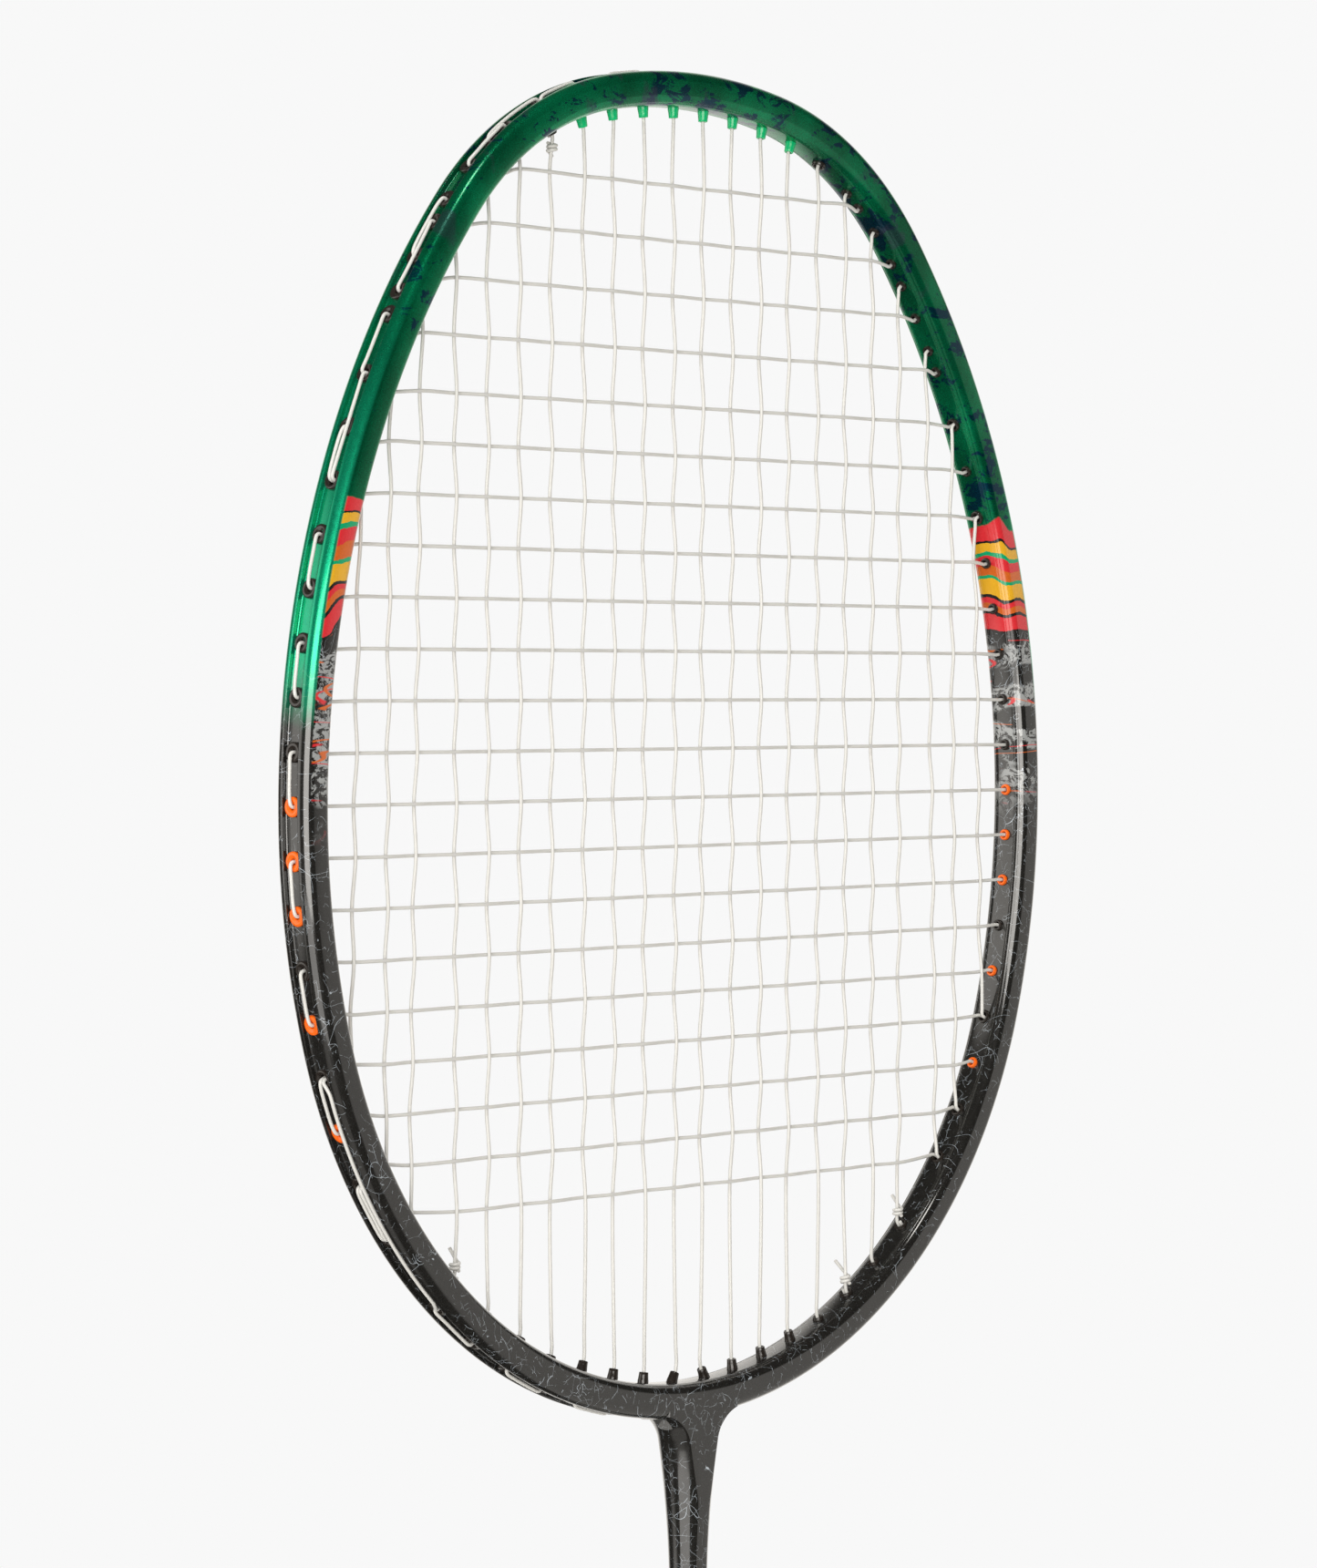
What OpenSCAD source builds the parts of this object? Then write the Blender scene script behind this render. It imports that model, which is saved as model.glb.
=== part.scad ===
// Badminton racket, upright: +Z runs from the butt to the head's tip, +X across the head,
// +Y from the front of the string bed to the back. The origin is the middle of the butt's end face.
// The head is drawn flat (X across, Y along the racket, Z to the front) and turned up by upright().

/* [Overall] */
// Length of the whole racket, butt to tip
overall_l = 675; // [640:1:680]
// Length of the head, tip to heel, outside
head_l = 252; // [246:1:258]
// Width of the head, outside
head_w = 205; // [200:1:210]

/* [Head curve] */
// Distance from the tip to the widest line of the head
tip_to_widest = 136; // [132:1:140]
// Radius of the tip, on the inner wall
tip_r = 118; // [112:1:124]
// Radius of each shoulder, on the inner wall
shoulder_r = 62; // [56:1:66]
// Radius of each side above the widest line, on the inner wall
side_r = 168; // [160:1:180]
// Radius of each side below the widest line, on the inner wall
low_side_r = 150; // [146:1:158]

/* [Frame section] */
// Depth of the frame section in the plane of the strings
frame_depth = 6.4; // [6.2:0.1:7.2]
// Thickness of the frame section, front to back
frame_t = 8.2; // [8:0.1:9.6]
// Wall of the hollow frame
frame_wall = 1.2; // [1:0.05:1.3]
// Corner radius on the outside of the section
outer_corner_r = 2.1; // [1.6:0.1:2.2]
// Corner radius on the inside of the section
inner_corner_r = 1.1; // [0.6:0.1:1.4]
// Width of the string groove round the outside
groove_w = 3.8; // [3.7:0.1:4.2]
// Depth of the string groove
groove_d = 1.1; // [1:0.05:1.2]

/* [String bed] */
// Diameter of the strings
string_d = 0.68; // [0.6:0.01:0.7]
// Distance between neighbouring main strings
main_pitch = 8.38; // [8.2:0.01:8.5]
// Distance between neighbouring cross strings over most of the bed
cross_pitch = 9.15; // [9:0.01:9.25]
// Distance between the cross strings nearest the tip
tip_cross_pitch = 10.3; // [10:0.05:10.5]
// Height of the middle cross string above the heel's outside
mid_cross_h = 134.7; // [133:0.1:136]

/* [Grommets] */
// Bore of a grommet for one string
single_bore_d = 1.1; // [1.05:0.05:1.2]
// Bore of a grommet for two strings
double_bore_d = 1.65; // [1.6:0.05:1.75]
// Wall of a grommet's tube
grommet_wall = 0.5; // [0.45:0.05:0.6]
// Flange of a grommet for one string
single_flange_d = 3.4; // [3.2:0.1:3.6]
// Flange of a grommet for two strings
double_flange_d = 3.6; // [3.4:0.1:3.7]
// Thickness of a grommet's flange
flange_t = 0.5; // [0.4:0.05:0.6]
// How far the tubes stand into the head at tip and heel
long_tube = 2.1; // [1.8:0.1:2.4]
// How far the other tubes stand into the head
short_tube = 0.8; // [0.6:0.1:1]
// Clearance round a grommet's tube in its hole
grommet_fit = 0.05; // [0.03:0.01:0.1]

/* [Neck and shaft] */
// Outside diameter of the shaft
shaft_d = 7.1; // [6.8:0.1:7.6]
// Wall of the shaft
shaft_wall = 1.1; // [0.9:0.05:1.3]
// Length of the neck below the head
neck_l = 35; // [30:1:40]
// Radius of the neck's long flare
neck_flare_r = 218; // [180:2:240]
// Radius of the fillet between neck and head
throat_fillet_r = 6.5; // [5.5:0.25:7.5]
// Depth of the T-joint's stem inside the shaft
stem_in_shaft = 30; // [20:1:40]
// Half length of the T-joint's arms inside the head
t_arm = 9; // [8:0.5:11]
// Clearance for the glue between glued pieces
glue_gap = 0.05; // [0.03:0.01:0.08]

/* [Handle] */
// Width of the wooden handle under the grip
core_w = 23.4; // [22.5:0.1:25]
// Thickness of the wooden handle under the grip
core_t = 20.6; // [19.5:0.1:22.5]
// Corner cut of the eight-sided handle
core_cut = 6; // [5.5:0.1:6.5]
// Height of the top of the grip
grip_top = 168; // [155:1:175]
// How much the handle widens at the butt
butt_flare = 3.8; // [2:0.1:5]
// Height of the flare at the butt
flare_h = 28; // [20:1:34]
// Thickness of the grip
grip_t = 1.7; // [1.4:0.1:2]
// Width of the finishing tape
tape_w = 12; // [10:1:16]
// Thickness of the finishing tape
tape_t = 0.3; // [0.2:0.05:0.4]
// Depth of the shaft inside the handle
shaft_in_handle = 80; // [60:1:95]
// Diameter of the steel pin through handle and shaft
pin_d = 1.5; // [1.2:0.1:2]

/* [Cone and butt] */
// Height of the cone above the grip
cone_h = 34; // [26:1:40]
// Diameter of the cone at its base
cone_base_d = 22; // [21:0.1:23]
// Diameter of the cone at its top
cone_top_d = 9.4; // [9:0.1:11]
// Diameter of the wooden spigot inside the cone
spigot_d = 17; // [14:0.2:18]
// Height of the wooden spigot inside the cone
spigot_h = 9; // [6:0.5:12]
// Thickness of the butt cap
cap_t = 3; // [2.5:0.1:4]
// Diameter of the round disc in the butt cap
disc_d = 17; // [14:0.2:18]
// Thickness of the round disc in the butt cap
disc_t = 0.8; // [0.6:0.1:1]
// Diameter of the butt cap's plug in the handle
plug_d = 13; // [10:0.2:14]
// Length of the butt cap's plug
plug_l = 7; // [5:0.5:10]

/* [Hidden] */
$fn = 48;
eps = 0.01;

main_count = 22;
cross_count = 21;
mid_cross = 11;
first_even_cross = 5;

// Heights along the racket
heel_y = overall_l - head_l;
inner_tip_y = overall_l - frame_depth;
inner_heel_y = heel_y + frame_depth;
widest_y = overall_l - tip_to_widest;
inner_half_w = head_w / 2 - frame_depth;
neck_y = heel_y - neck_l;
shaft_low_y = grip_top - shaft_in_handle;
shaft_bore_d = shaft_d - 2 * shaft_wall;

// ---- The head's curve: five arcs per side, each [centre x, centre y, radius, low angle, high angle]

// Lengths and angles of the curve split into three decimals and a rest, so that arcs which meet
// end in exactly one plane
function kept(v) = round(v * 1000) / 1000;
function outward(a) = [cos(a), sin(a)];

tip_c = [0, inner_tip_y - tip_r];
tip_to_side = [inner_half_w - side_r, widest_y] - tip_c;
centre_gap = norm(tip_to_side);
shoulder_t = (pow(tip_r - shoulder_r, 2) - pow(side_r - shoulder_r, 2) + centre_gap * centre_gap)
    / (2 * centre_gap);
shoulder_out = sqrt(pow(tip_r - shoulder_r, 2) - shoulder_t * shoulder_t);
to_shoulder = (tip_to_side * shoulder_t
    + [tip_to_side[1], -tip_to_side[0]] * shoulder_out) / centre_gap;
from_side = to_shoulder - tip_to_side;
tip_a = kept(atan2(to_shoulder[1], to_shoulder[0]));
side_a = kept(atan2(from_side[1], from_side[0]));
shoulder_c = tip_c + (tip_r - shoulder_r) * outward(tip_a);
side_c = shoulder_c - (side_r - shoulder_r) * outward(side_a);
low_side_c = side_c + [side_r - low_side_r, 0];

heel_h = widest_y - inner_heel_y;
heel_guess = (inner_half_w * inner_half_w + heel_h * heel_h - 2 * inner_half_w * low_side_r)
    / (2 * (heel_h - low_side_r));
heel_a = kept(atan2(inner_heel_y + heel_guess - widest_y, low_side_r - inner_half_w));
heel_r = low_side_r + low_side_c[0] / cos(heel_a);
heel_c = [0, low_side_c[1] + (low_side_r - heel_r) * sin(heel_a)];
arcs = [
    [tip_c[0], tip_c[1], tip_r, tip_a, 90],
    [shoulder_c[0], shoulder_c[1], shoulder_r, side_a, tip_a],
    [side_c[0], side_c[1], side_r, 0, side_a],
    [low_side_c[0], low_side_c[1], low_side_r, heel_a, 0],
    [heel_c[0], heel_c[1], heel_r, -90, heel_a]
];

function within(a, arc) = a >= arc[3] - eps && a <= arc[4] + eps;
function arc_at(a) = [for (arc = arcs) if (within(a, arc)) arc][0];

// A place on the head is the direction of its outward normal: 90 at the tip, 0 and 180 at the
// sides, -90 or 270 at the heel. curve_at gives the point, out millimetres outside the inner wall.
function folded(a) = a > 90 ? 180 - a : a;
function side_of(a) = a > 90 ? -1 : 1;
function curve_at(a, out = 0) =
    let (f = folded(a), arc = arc_at(f), r = arc[2] + out)
    [side_of(a) * (arc[0] + r * cos(f)), arc[1] + r * sin(f)];

// Directions at which a line of the bed meets the inner wall, on the right half
function angles_at_x(x) = [
    for (arc = arcs) let (c = (x - arc[0]) / arc[2]) if (abs(c) <= 1)
        for (a = [acos(c), -acos(c)]) if (within(a, arc)) a
];
function angle_at_y(y) = [
    for (arc = arcs) let (s = (y - arc[1]) / arc[2]) if (abs(s) <= 1)
        let (a = asin(s)) if (within(a, arc)) a
][0];

// ---- Holes: [direction, tube length inside, two strings?, slant away from the normal]

bend_gap = 0.45;
main_x = [for (k = [0:main_count - 1]) (k - (main_count - 1) / 2) * main_pitch];
function cross_y(j) = heel_y + mid_cross_h + (mid_cross - max(j, first_even_cross)) * cross_pitch
    + max(first_even_cross - j, 0) * tip_cross_pitch;

function on_right(k) = k > main_count / 2;
function mirrored_main(k) = on_right(k) ? k : main_count + 1 - k;

// The outer mains share their holes with crosses: [main, cross] at the tip end and the heel end
shared_top = [[21, 5], [22, 7]];
shared_low = [[20, 21], [21, 20], [22, 18]];
tie_top = [16];
tie_low = [17, 19];
last_long_tube = 15;
throat_main = 12;

function partner(k, list) = [for (p = list) if (p[0] == k) p[1]];
function has(list, v) = len([for (i = list) if (i == v) i]) > 0;
function cross_shared(j) = has([for (p = concat(shared_top, shared_low)) p[1]], j);

throat_slant = 23;

// Holes of the right half; the left half mirrors them
function main_hole(k, top) =
    let (
        m = mirrored_main(k),
        pair = partner(m, top ? shared_top : shared_low),
        tube = m <= last_long_tube ? long_tube : short_tube,
        wide = len(pair) > 0 || has(top ? tie_top : tie_low, m),
        slant = !top && m == throat_main ? throat_slant : 0,
        found = angles_at_x(main_x[m - 1] + tube / 2 * tan(slant)),
        a = len(pair) > 0 ? angle_at_y(cross_y(pair[0])) : top ? max(found) : min(found)
    ) [on_right(k) ? a : 180 - a, tube, wide, slant];
function cross_hole(j, right) =
    let (a = angle_at_y(cross_y(j)))
    [right ? a : 180 - a, short_tube, cross_shared(j), 0];

// A hole's point and direction in the flat head, out millimetres beyond the inner wall
function slant_dir(h) = outward(h[0] + side_of(h[0]) * h[3]);
function hole_at(h, out) = curve_at(h[0]) + slant_dir(h) * out / cos(h[3]);
function bend_at(h) = hole_at(h, -(h[1] + bend_gap));

seat = frame_depth - groove_d;
string_r = string_d / 2;
loop_out = seat + flange_t + string_r + 0.05;

// ---- Head frame

module upright() { rotate([90, 0, 0]) children(); }

// Points of an arc, for outlines
function arc_points(c, r, from, to, steps) = [
    for (i = [0:steps]) let (a = from + (to - from) * i / steps)
        [c[0] + r * cos(a), c[1] + r * sin(a)]
];

outer_round = min(outer_corner_r, (frame_t - groove_w) / 2 - 0.05);

// Section of the frame, with the inner wall on the Y axis and the groove outside
module section_outline() {
    half_t = frame_t / 2;
    out = frame_depth - outer_round;
    polygon(concat(
        arc_points([inner_corner_r, inner_corner_r - half_t], inner_corner_r, 180, 270, 2),
        arc_points([out, outer_round - half_t], outer_round, 270, 360, 4),
        [[frame_depth, -groove_w / 2], [seat, -groove_w / 2]],
        [[seat, groove_w / 2], [frame_depth, groove_w / 2]],
        arc_points([out, half_t - outer_round], outer_round, 0, 90, 4),
        arc_points([inner_corner_r, half_t - inner_corner_r], inner_corner_r, 90, 180, 2)
    ));
}

// The groove's end in the neck is a little narrower and shallower than the groove
throat_step = 0.1;

module throat_groove_outline() {
    w = groove_w - 2 * throat_step;
    translate([seat + throat_step, -w / 2]) square([groove_d + throat_fillet_r, w]);
}

// The hollow, or with a clearance the piece that fills it
module core_outline(inset = 0) {
    w = seat - 2 * frame_wall - 2 * inset;
    t = frame_t - 2 * frame_wall - 2 * inset;
    translate([frame_wall + inset, -t / 2]) square([w, t]);
}

module arc_sweep(arc, from, to) {
    c = [arc[0], arc[1], 0];
    r = arc[2];
    near = [kept(c[0]), kept(c[1]), 0];
    translate(near) translate(c - near)
        rotate_extrude(angle = to - from, start = from, $fn = 180)
            translate([kept(r), 0]) translate([r - kept(r), 0]) children();
}

module hoop() {
    arc_sweep(arcs[0], tip_a, 180 - tip_a) children();
    arc_sweep(arcs[4], -180 - heel_a, heel_a) children();
    for (side = [0, 1], arc = [arcs[1], arcs[2], arcs[3]])
        mirror([side, 0, 0]) arc_sweep(arc, arc[3], arc[4]) children();
}

// Neck: a horn of revolution cut to the frame's thickness. Its long flare and the fillet into
// the head are arcs that touch, both with their centres outside it.
fillet_sink = 1.2;
fillet_end_a = 106;
neck_inside = 2.6;
flare_c = [shaft_d / 2 + neck_flare_r, neck_y];
fillet_y = heel_y + fillet_sink - throat_fillet_r;
fillet_x = flare_c[0] - sqrt(pow(neck_flare_r - throat_fillet_r, 2) - pow(fillet_y - neck_y, 2));
flare_end_a = atan2(fillet_y - neck_y, fillet_x - flare_c[0]);

module neck_outline() {
    fillet = arc_points([fillet_x, fillet_y], throat_fillet_r, flare_end_a, fillet_end_a, 8);
    polygon(concat(
        [[0, neck_y]],
        arc_points(flare_c, neck_flare_r, 180, flare_end_a, 8),
        [for (i = [1:len(fillet) - 1]) fillet[i]],
        [[fillet[len(fillet) - 1][0], heel_y + neck_inside], [0, heel_y + neck_inside]]
    ));
}

module neck() {
    intersection() {
        rotate_extrude($fn = 180) neck_outline();
        translate([-fillet_x - 1, -frame_t / 2, neck_y - 1])
            cube([2 * fillet_x + 2, frame_t, neck_l + frame_depth]);
    }
}

function all_holes() = concat(
    [for (k = [1:main_count]) main_hole(k, true)],
    [for (k = [1:main_count]) if (len(partner(mirrored_main(k), shared_low)) == 0)
        main_hole(k, false)],
    [for (j = [1:cross_count]) if (!has([5, 7], j)) for (right = [false, true])
        cross_hole(j, right)]
);

function bore_r(h) = (h[2] ? double_bore_d : single_bore_d) / 2;
function tube_r(h) = bore_r(h) + grommet_wall;
function flange_r(h) = (h[2] ? double_flange_d : single_flange_d) / 2;

// Puts children on a hole's axis: +Z outward, origin on the inner wall
module at_hole(h) {
    p = curve_at(h[0]);
    d = slant_dir(h);
    translate([p[0], p[1], 0]) rotate([0, 0, atan2(d[1], d[0])]) rotate([0, 90, 0]) children();
}

module hole_drill(h) {
    at_hole(h) translate([0, 0, -2]) cylinder(r = tube_r(h) + grommet_fit, h = frame_depth + 6);
}

throat_seat = seat / cos(throat_slant);
module throat_spotface(h) {
    at_hole(h) translate([0, 0, throat_seat])
        cylinder(r = flange_r(h) + 0.1, h = frame_depth);
}

throat_groove_from = 3.6;
throat_groove_to = 9;

module head_frame() {
    color("darkgreen") difference() {
        union() {
            upright() hoop() section_outline();
            neck();
        }
        upright() {
            hoop() core_outline();
            for (side = [0, 1]) mirror([side, 0, 0])
                arc_sweep(arcs[4], -90 + throat_groove_from, -90 + throat_groove_to)
                    throat_groove_outline();
            for (h = all_holes()) hole_drill(h);
            for (k = [throat_main - 1, throat_main]) throat_spotface(main_hole(k, false));
        }
        translate([0, 0, neck_y - 1])
            cylinder(d = shaft_bore_d, h = inner_heel_y - seat + frame_wall + 0.3 - neck_y + 1);
    }
}

// ---- T-joint, shaft and pin

arm_a = t_arm / heel_r * 180 / PI;

module t_joint() {
    color("dimgray") difference() {
        union() {
            upright() arc_sweep(arcs[4], -90 - arm_a, -90 + arm_a) core_outline(glue_gap);
            translate([0, 0, neck_y - stem_in_shaft])
                cylinder(d = shaft_bore_d - 2 * glue_gap,
                    h = inner_heel_y - seat + frame_wall + 0.5 - neck_y + stem_in_shaft);
        }
        upright() for (k = [throat_main - 1, throat_main]) hole_drill(main_hole(k, false));
    }
}

pin_y = (shaft_low_y + grip_top) / 2;

module pin_cut() {
    translate([0, -core_t, pin_y]) rotate([-90, 0, 0])
        cylinder(d = pin_d + 2 * glue_gap, h = 2 * core_t);
}

module shaft() {
    color("#2b2b2d") difference() {
        translate([0, 0, shaft_low_y]) cylinder(d = shaft_d, h = neck_y - shaft_low_y);
        translate([0, 0, shaft_low_y - 1])
            cylinder(d = shaft_bore_d, h = neck_y - shaft_low_y + 2);
        pin_cut();
    }
}

module shaft_pin() {
    color("silver") translate([0, -core_t / 2 + 0.5, pin_y]) rotate([-90, 0, 0])
        cylinder(d = pin_d, h = core_t - 1);
}

// ---- Handle

module eight_sided(w, t, cut) {
    polygon([[w / 2, t / 2 - cut], [w / 2 - cut, t / 2], [cut - w / 2, t / 2],
        [-w / 2, t / 2 - cut], [-w / 2, cut - t / 2], [cut - w / 2, -t / 2],
        [w / 2 - cut, -t / 2], [w / 2, cut - t / 2]]);
}

// A solid of the handle's form, grown by grow all round, from height low to height high
module handle_form(grow, low, high) {
    w = core_w + 2 * grow;
    t = core_t + 2 * grow;
    cut = core_cut + grow * 0.586;
    flare_top = cap_t + flare_h;
    translate([0, 0, flare_top]) linear_extrude(high - flare_top) eight_sided(w, t, cut);
    translate([0, 0, flare_top]) mirror([0, 0, 1])
        linear_extrude(flare_top - low, slices = 1,
            scale = [(w + butt_flare) / w, (t + butt_flare) / t])
            eight_sided(w, t, cut);
}

spigot_top = grip_top + spigot_h;

module handle_core() {
    color("burlywood") difference() {
        union() {
            handle_form(0, cap_t, grip_top);
            translate([0, 0, grip_top - 1]) cylinder(d = spigot_d, h = spigot_h + 1);
        }
        translate([0, 0, shaft_low_y - 0.5])
            cylinder(d = shaft_d + 2 * glue_gap, h = spigot_top - shaft_low_y + 2);
        translate([0, 0, cap_t - 1])
            cylinder(d = plug_d + 2 * glue_gap, h = plug_l + 2);
        pin_cut();
    }
}

module base_grip() {
    color("#1d1d1f") difference() {
        handle_form(grip_t, cap_t, grip_top);
        handle_form(glue_gap, cap_t - 1, grip_top + 1);
    }
}

module grip_end_tape() {
    grow = grip_t + glue_gap;
    w = core_w + 2 * grow;
    t = core_t + 2 * grow;
    cut = core_cut + grow * 0.586;
    color("#0f0f10") translate([0, 0, grip_top - tape_w]) difference() {
        linear_extrude(tape_w) eight_sided(w + 2 * tape_t, t + 2 * tape_t, cut + tape_t * 0.586);
        translate([0, 0, -1]) linear_extrude(tape_w + 2) eight_sided(w, t, cut);
    }
}

module cone_cap() {
    collar_h = 4;
    cone_low = grip_top + glue_gap;
    color("#161617") difference() {
        union() {
            translate([0, 0, cone_low]) cylinder(d = cone_base_d, h = collar_h);
            translate([0, 0, cone_low + collar_h])
                cylinder(d1 = cone_base_d, d2 = cone_top_d, h = cone_h - collar_h);
        }
        translate([0, 0, cone_low - 1])
            cylinder(d = spigot_d + 2 * glue_gap, h = spigot_h + 1 + glue_gap);
        translate([0, 0, cone_low])
            cylinder(d = shaft_d + 2 * glue_gap, h = cone_h + 1);
    }
}

module butt_cap() {
    w = core_w + butt_flare + grip_t;
    t = core_t + butt_flare + grip_t;
    color("#141415") difference() {
        union() {
            linear_extrude(cap_t) eight_sided(w, t, core_cut + 1);
            cylinder(d = plug_d, h = cap_t + plug_l);
        }
        translate([0, 0, -1]) cylinder(d = disc_d + 2 * glue_gap, h = disc_t + glue_gap + 1);
    }
}

module butt_disc() {
    color("#2f6b4a") cylinder(d = disc_d, h = disc_t);
}

// ---- Grommets: a tube with a dished flange seated in the groove

module grommet(h) {
    at = h[3] > 0 ? throat_seat : seat;
    r = bore_r(h);
    at_hole(h) rotate_extrude() polygon([
        [r, -h[1]], [tube_r(h), -h[1]], [tube_r(h), at], [flange_r(h), at],
        [flange_r(h), at + flange_t], [r + 0.35, at + flange_t], [r, at - 0.2]
    ]);
}

function top_mains(list, right) =
    [for (k = list) main_hole(right ? k : main_count + 1 - k, true)];
function low_mains(list, right) =
    [for (k = list) main_hole(right ? k : main_count + 1 - k, false)];
function crosses(list, right) = [for (j = list) cross_hole(j, right)];

module grommet_row(holes) { upright() for (h = holes) grommet(h); }

module shoulder_grommets(right) {
    grommet_row(concat(top_mains([17, 18, 19, 20], right), crosses([1, 2, 3, 4, 6], right)));
}

module side_grommets(right) { grommet_row(crosses([8, 9, 10, 11, 12, 16], right)); }

module accent_grommets(right) { grommet_row(crosses([13, 14, 15, 17, 19], right)); }

module shared_grommets(right) { grommet_row(crosses([5, 7, 18, 20, 21], right)); }

module tie_grommets(right) {
    grommet_row(concat(top_mains(tie_top, right), low_mains(tie_low, right)));
}

module heel_grommets(right) { grommet_row(low_mains([13, 14, 15, 16, 18], right)); }

module grommets_tip() {
    color("mediumseagreen") grommet_row([for (k = [8:15]) main_hole(k, true)]);
}
module grommets_shoulder_left() { color("#241f1d") shoulder_grommets(false); }
module grommets_shoulder_right() { color("#241f1d") shoulder_grommets(true); }
module grommets_side_left() { color("#241f1d") side_grommets(false); }
module grommets_side_right() { color("#241f1d") side_grommets(true); }
module grommets_accent_left() { color("darkorange") accent_grommets(false); }
module grommets_accent_right() { color("darkorange") accent_grommets(true); }
module grommets_shared_left() { color("#241f1d") shared_grommets(false); }
module grommets_shared_right() { color("#241f1d") shared_grommets(true); }
module grommets_tie_left() { color("#241f1d") tie_grommets(false); }
module grommets_tie_right() { color("#241f1d") tie_grommets(true); }
module grommets_heel_left() { color("#241f1d") heel_grommets(false); }
module grommets_heel_right() { color("#241f1d") heel_grommets(true); }
module grommets_throat() {
    color("#241f1d") grommet_row([for (k = [throat_main - 1, throat_main]) main_hole(k, false)]);
}

// ---- Strings: each is one cord, swept along its own route in the flat head

track = 0.75;
tie_track = 1.45;
pair_z = 0.36;
weave = string_d + 0.02;
settle = 5;

// Main runs. Two strings in one hole lie pair_z to the front and to the back of its axis.
function shares(k, top) = len(partner(mirrored_main(k), top ? shared_top : shared_low)) > 0;
function ties_own(k, top) = top ? k == 7 : k == 17;
function main_ties(k, top) = !top && (k == 4 || k == 19);
function main_z(k, top) =
    shares(k, top) || ties_own(k, top) ? pair_z : main_ties(k, top) ? -pair_z : 0;
function main_end(k, top) = bend_at(main_hole(k, top));
function main_ends(k) = [main_end(k, false), main_end(k, true)];
function on_main(k, y) =
    let (e = main_ends(k)) e[0] + (e[1] - e[0]) * (y - e[0][1]) / (e[1][1] - e[0][1]);
function raised(p, z) = [p[0], p[1], z];
function main_run(k) =
    let (e = main_ends(k), low = e[0][1] + settle, high = e[1][1] - settle) [
        raised(e[0], main_z(k, false)), raised(on_main(k, low), 0),
        raised(on_main(k, high), 0), raised(e[1], main_z(k, true))
    ];

// Cross runs weave over and under the mains they meet
function meets(j, k) =
    let (y = cross_y(j), e = main_ends(k)) y > e[0][1] + 0.7 && y < e[1][1] - 0.7;
function over(j, k) = (j + k) % 2 == 0 ? 1 : -1;
function met_by(j) = [for (k = [1:main_count]) if (meets(j, k)) k];
function cross_end_z(j, k) = cross_shared(j) ? -pair_z : 0.15 * over(j, k);
function cross_run(j) =
    let (
        y = cross_y(j),
        ks = met_by(j),
        left = bend_at(cross_hole(j, false)),
        right = bend_at(cross_hole(j, true))
    ) concat(
        [raised(left, cross_end_z(j, ks[0]))],
        [for (k = ks) raised(on_main(k, y), weave * over(j, k))],
        [raised(right, cross_end_z(j, ks[len(ks) - 1]))]
    );

// A loop leaves hole a, runs in the groove at offset z and goes into hole b. Each row of rise is
// [depth below the groove run, distance along it, share of the way to offset z].
rise = [[0.4, 0.14, 0], [0.08, 0.55, 0.3], [0, 1.3, 0.65], [0, 2.6, 1]];
mouth = 0.85;
loop_step = 3.4;
function exit_a(h) =
    let (p = hole_at(h, loop_out) - heel_c, a = atan2(p[1], p[0]))
    h[3] == 0 ? h[0] : a < -90 ? a + 360 : a;
function loop_half(h, z_in, z, dir) =
    let (r = arc_at(folded(h[0]))[2] + loop_out, a = exit_a(h)) concat(
        [raised(hole_at(h, loop_out - mouth), z_in)],
        [for (s = rise)
            raised(curve_at(a + dir * s[1] / r * 180 / PI, loop_out - s[0]),
                z_in + (z - z_in) * s[2])]
    );
function reversed(list) = [for (i = [len(list) - 1:-1:0]) list[i]];
function loop(a, za, b, zb, z) =
    let (
        from = exit_a(a),
        span = exit_a(b) - from,
        dir = span > 0 ? 1 : -1,
        taken = rise[len(rise) - 1][1] / shoulder_r * 180 / PI + loop_step / 3,
        steps = max(ceil(abs(span) / loop_step), 1)
    ) concat(
        loop_half(a, za, z, dir),
        [for (i = [1:steps - 1]) let (t = span * i / steps)
            if (abs(t) > taken && abs(span - t) > taken)
                raised(curve_at(from + t, loop_out), z)],
        reversed(loop_half(b, zb, z, -dir))
    );

function joined(lists, i = 0) = i >= len(lists) ? [] : concat(lists[i], joined(lists, i + 1));

main_tie_left = main_hole(4, false);
main_tie_right = main_hole(19, false);
cross_tie_top = main_hole(7, true);
cross_tie_low = main_hole(17, false);

main_route = joined(concat(
    [[raised(bend_at(main_tie_left), pair_z)]],
    [loop(main_tie_left, pair_z, main_hole(1, false), pair_z, tie_track)],
    [for (k = [1:main_count]) let (up = k % 2 == 1) joined([
        up ? main_run(k) : reversed(main_run(k)),
        k == main_count ? [] : loop(main_hole(k, up), main_z(k, up),
            main_hole(k + 1, up), main_z(k + 1, up), track)
    ])],
    [loop(main_hole(main_count, false), pair_z, main_tie_right, pair_z, tie_track)],
    [[raised(bend_at(main_tie_right), pair_z)]]
));

function cross_last_z(j, right) =
    let (ks = met_by(j)) cross_end_z(j, right ? ks[len(ks) - 1] : ks[0]);

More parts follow.
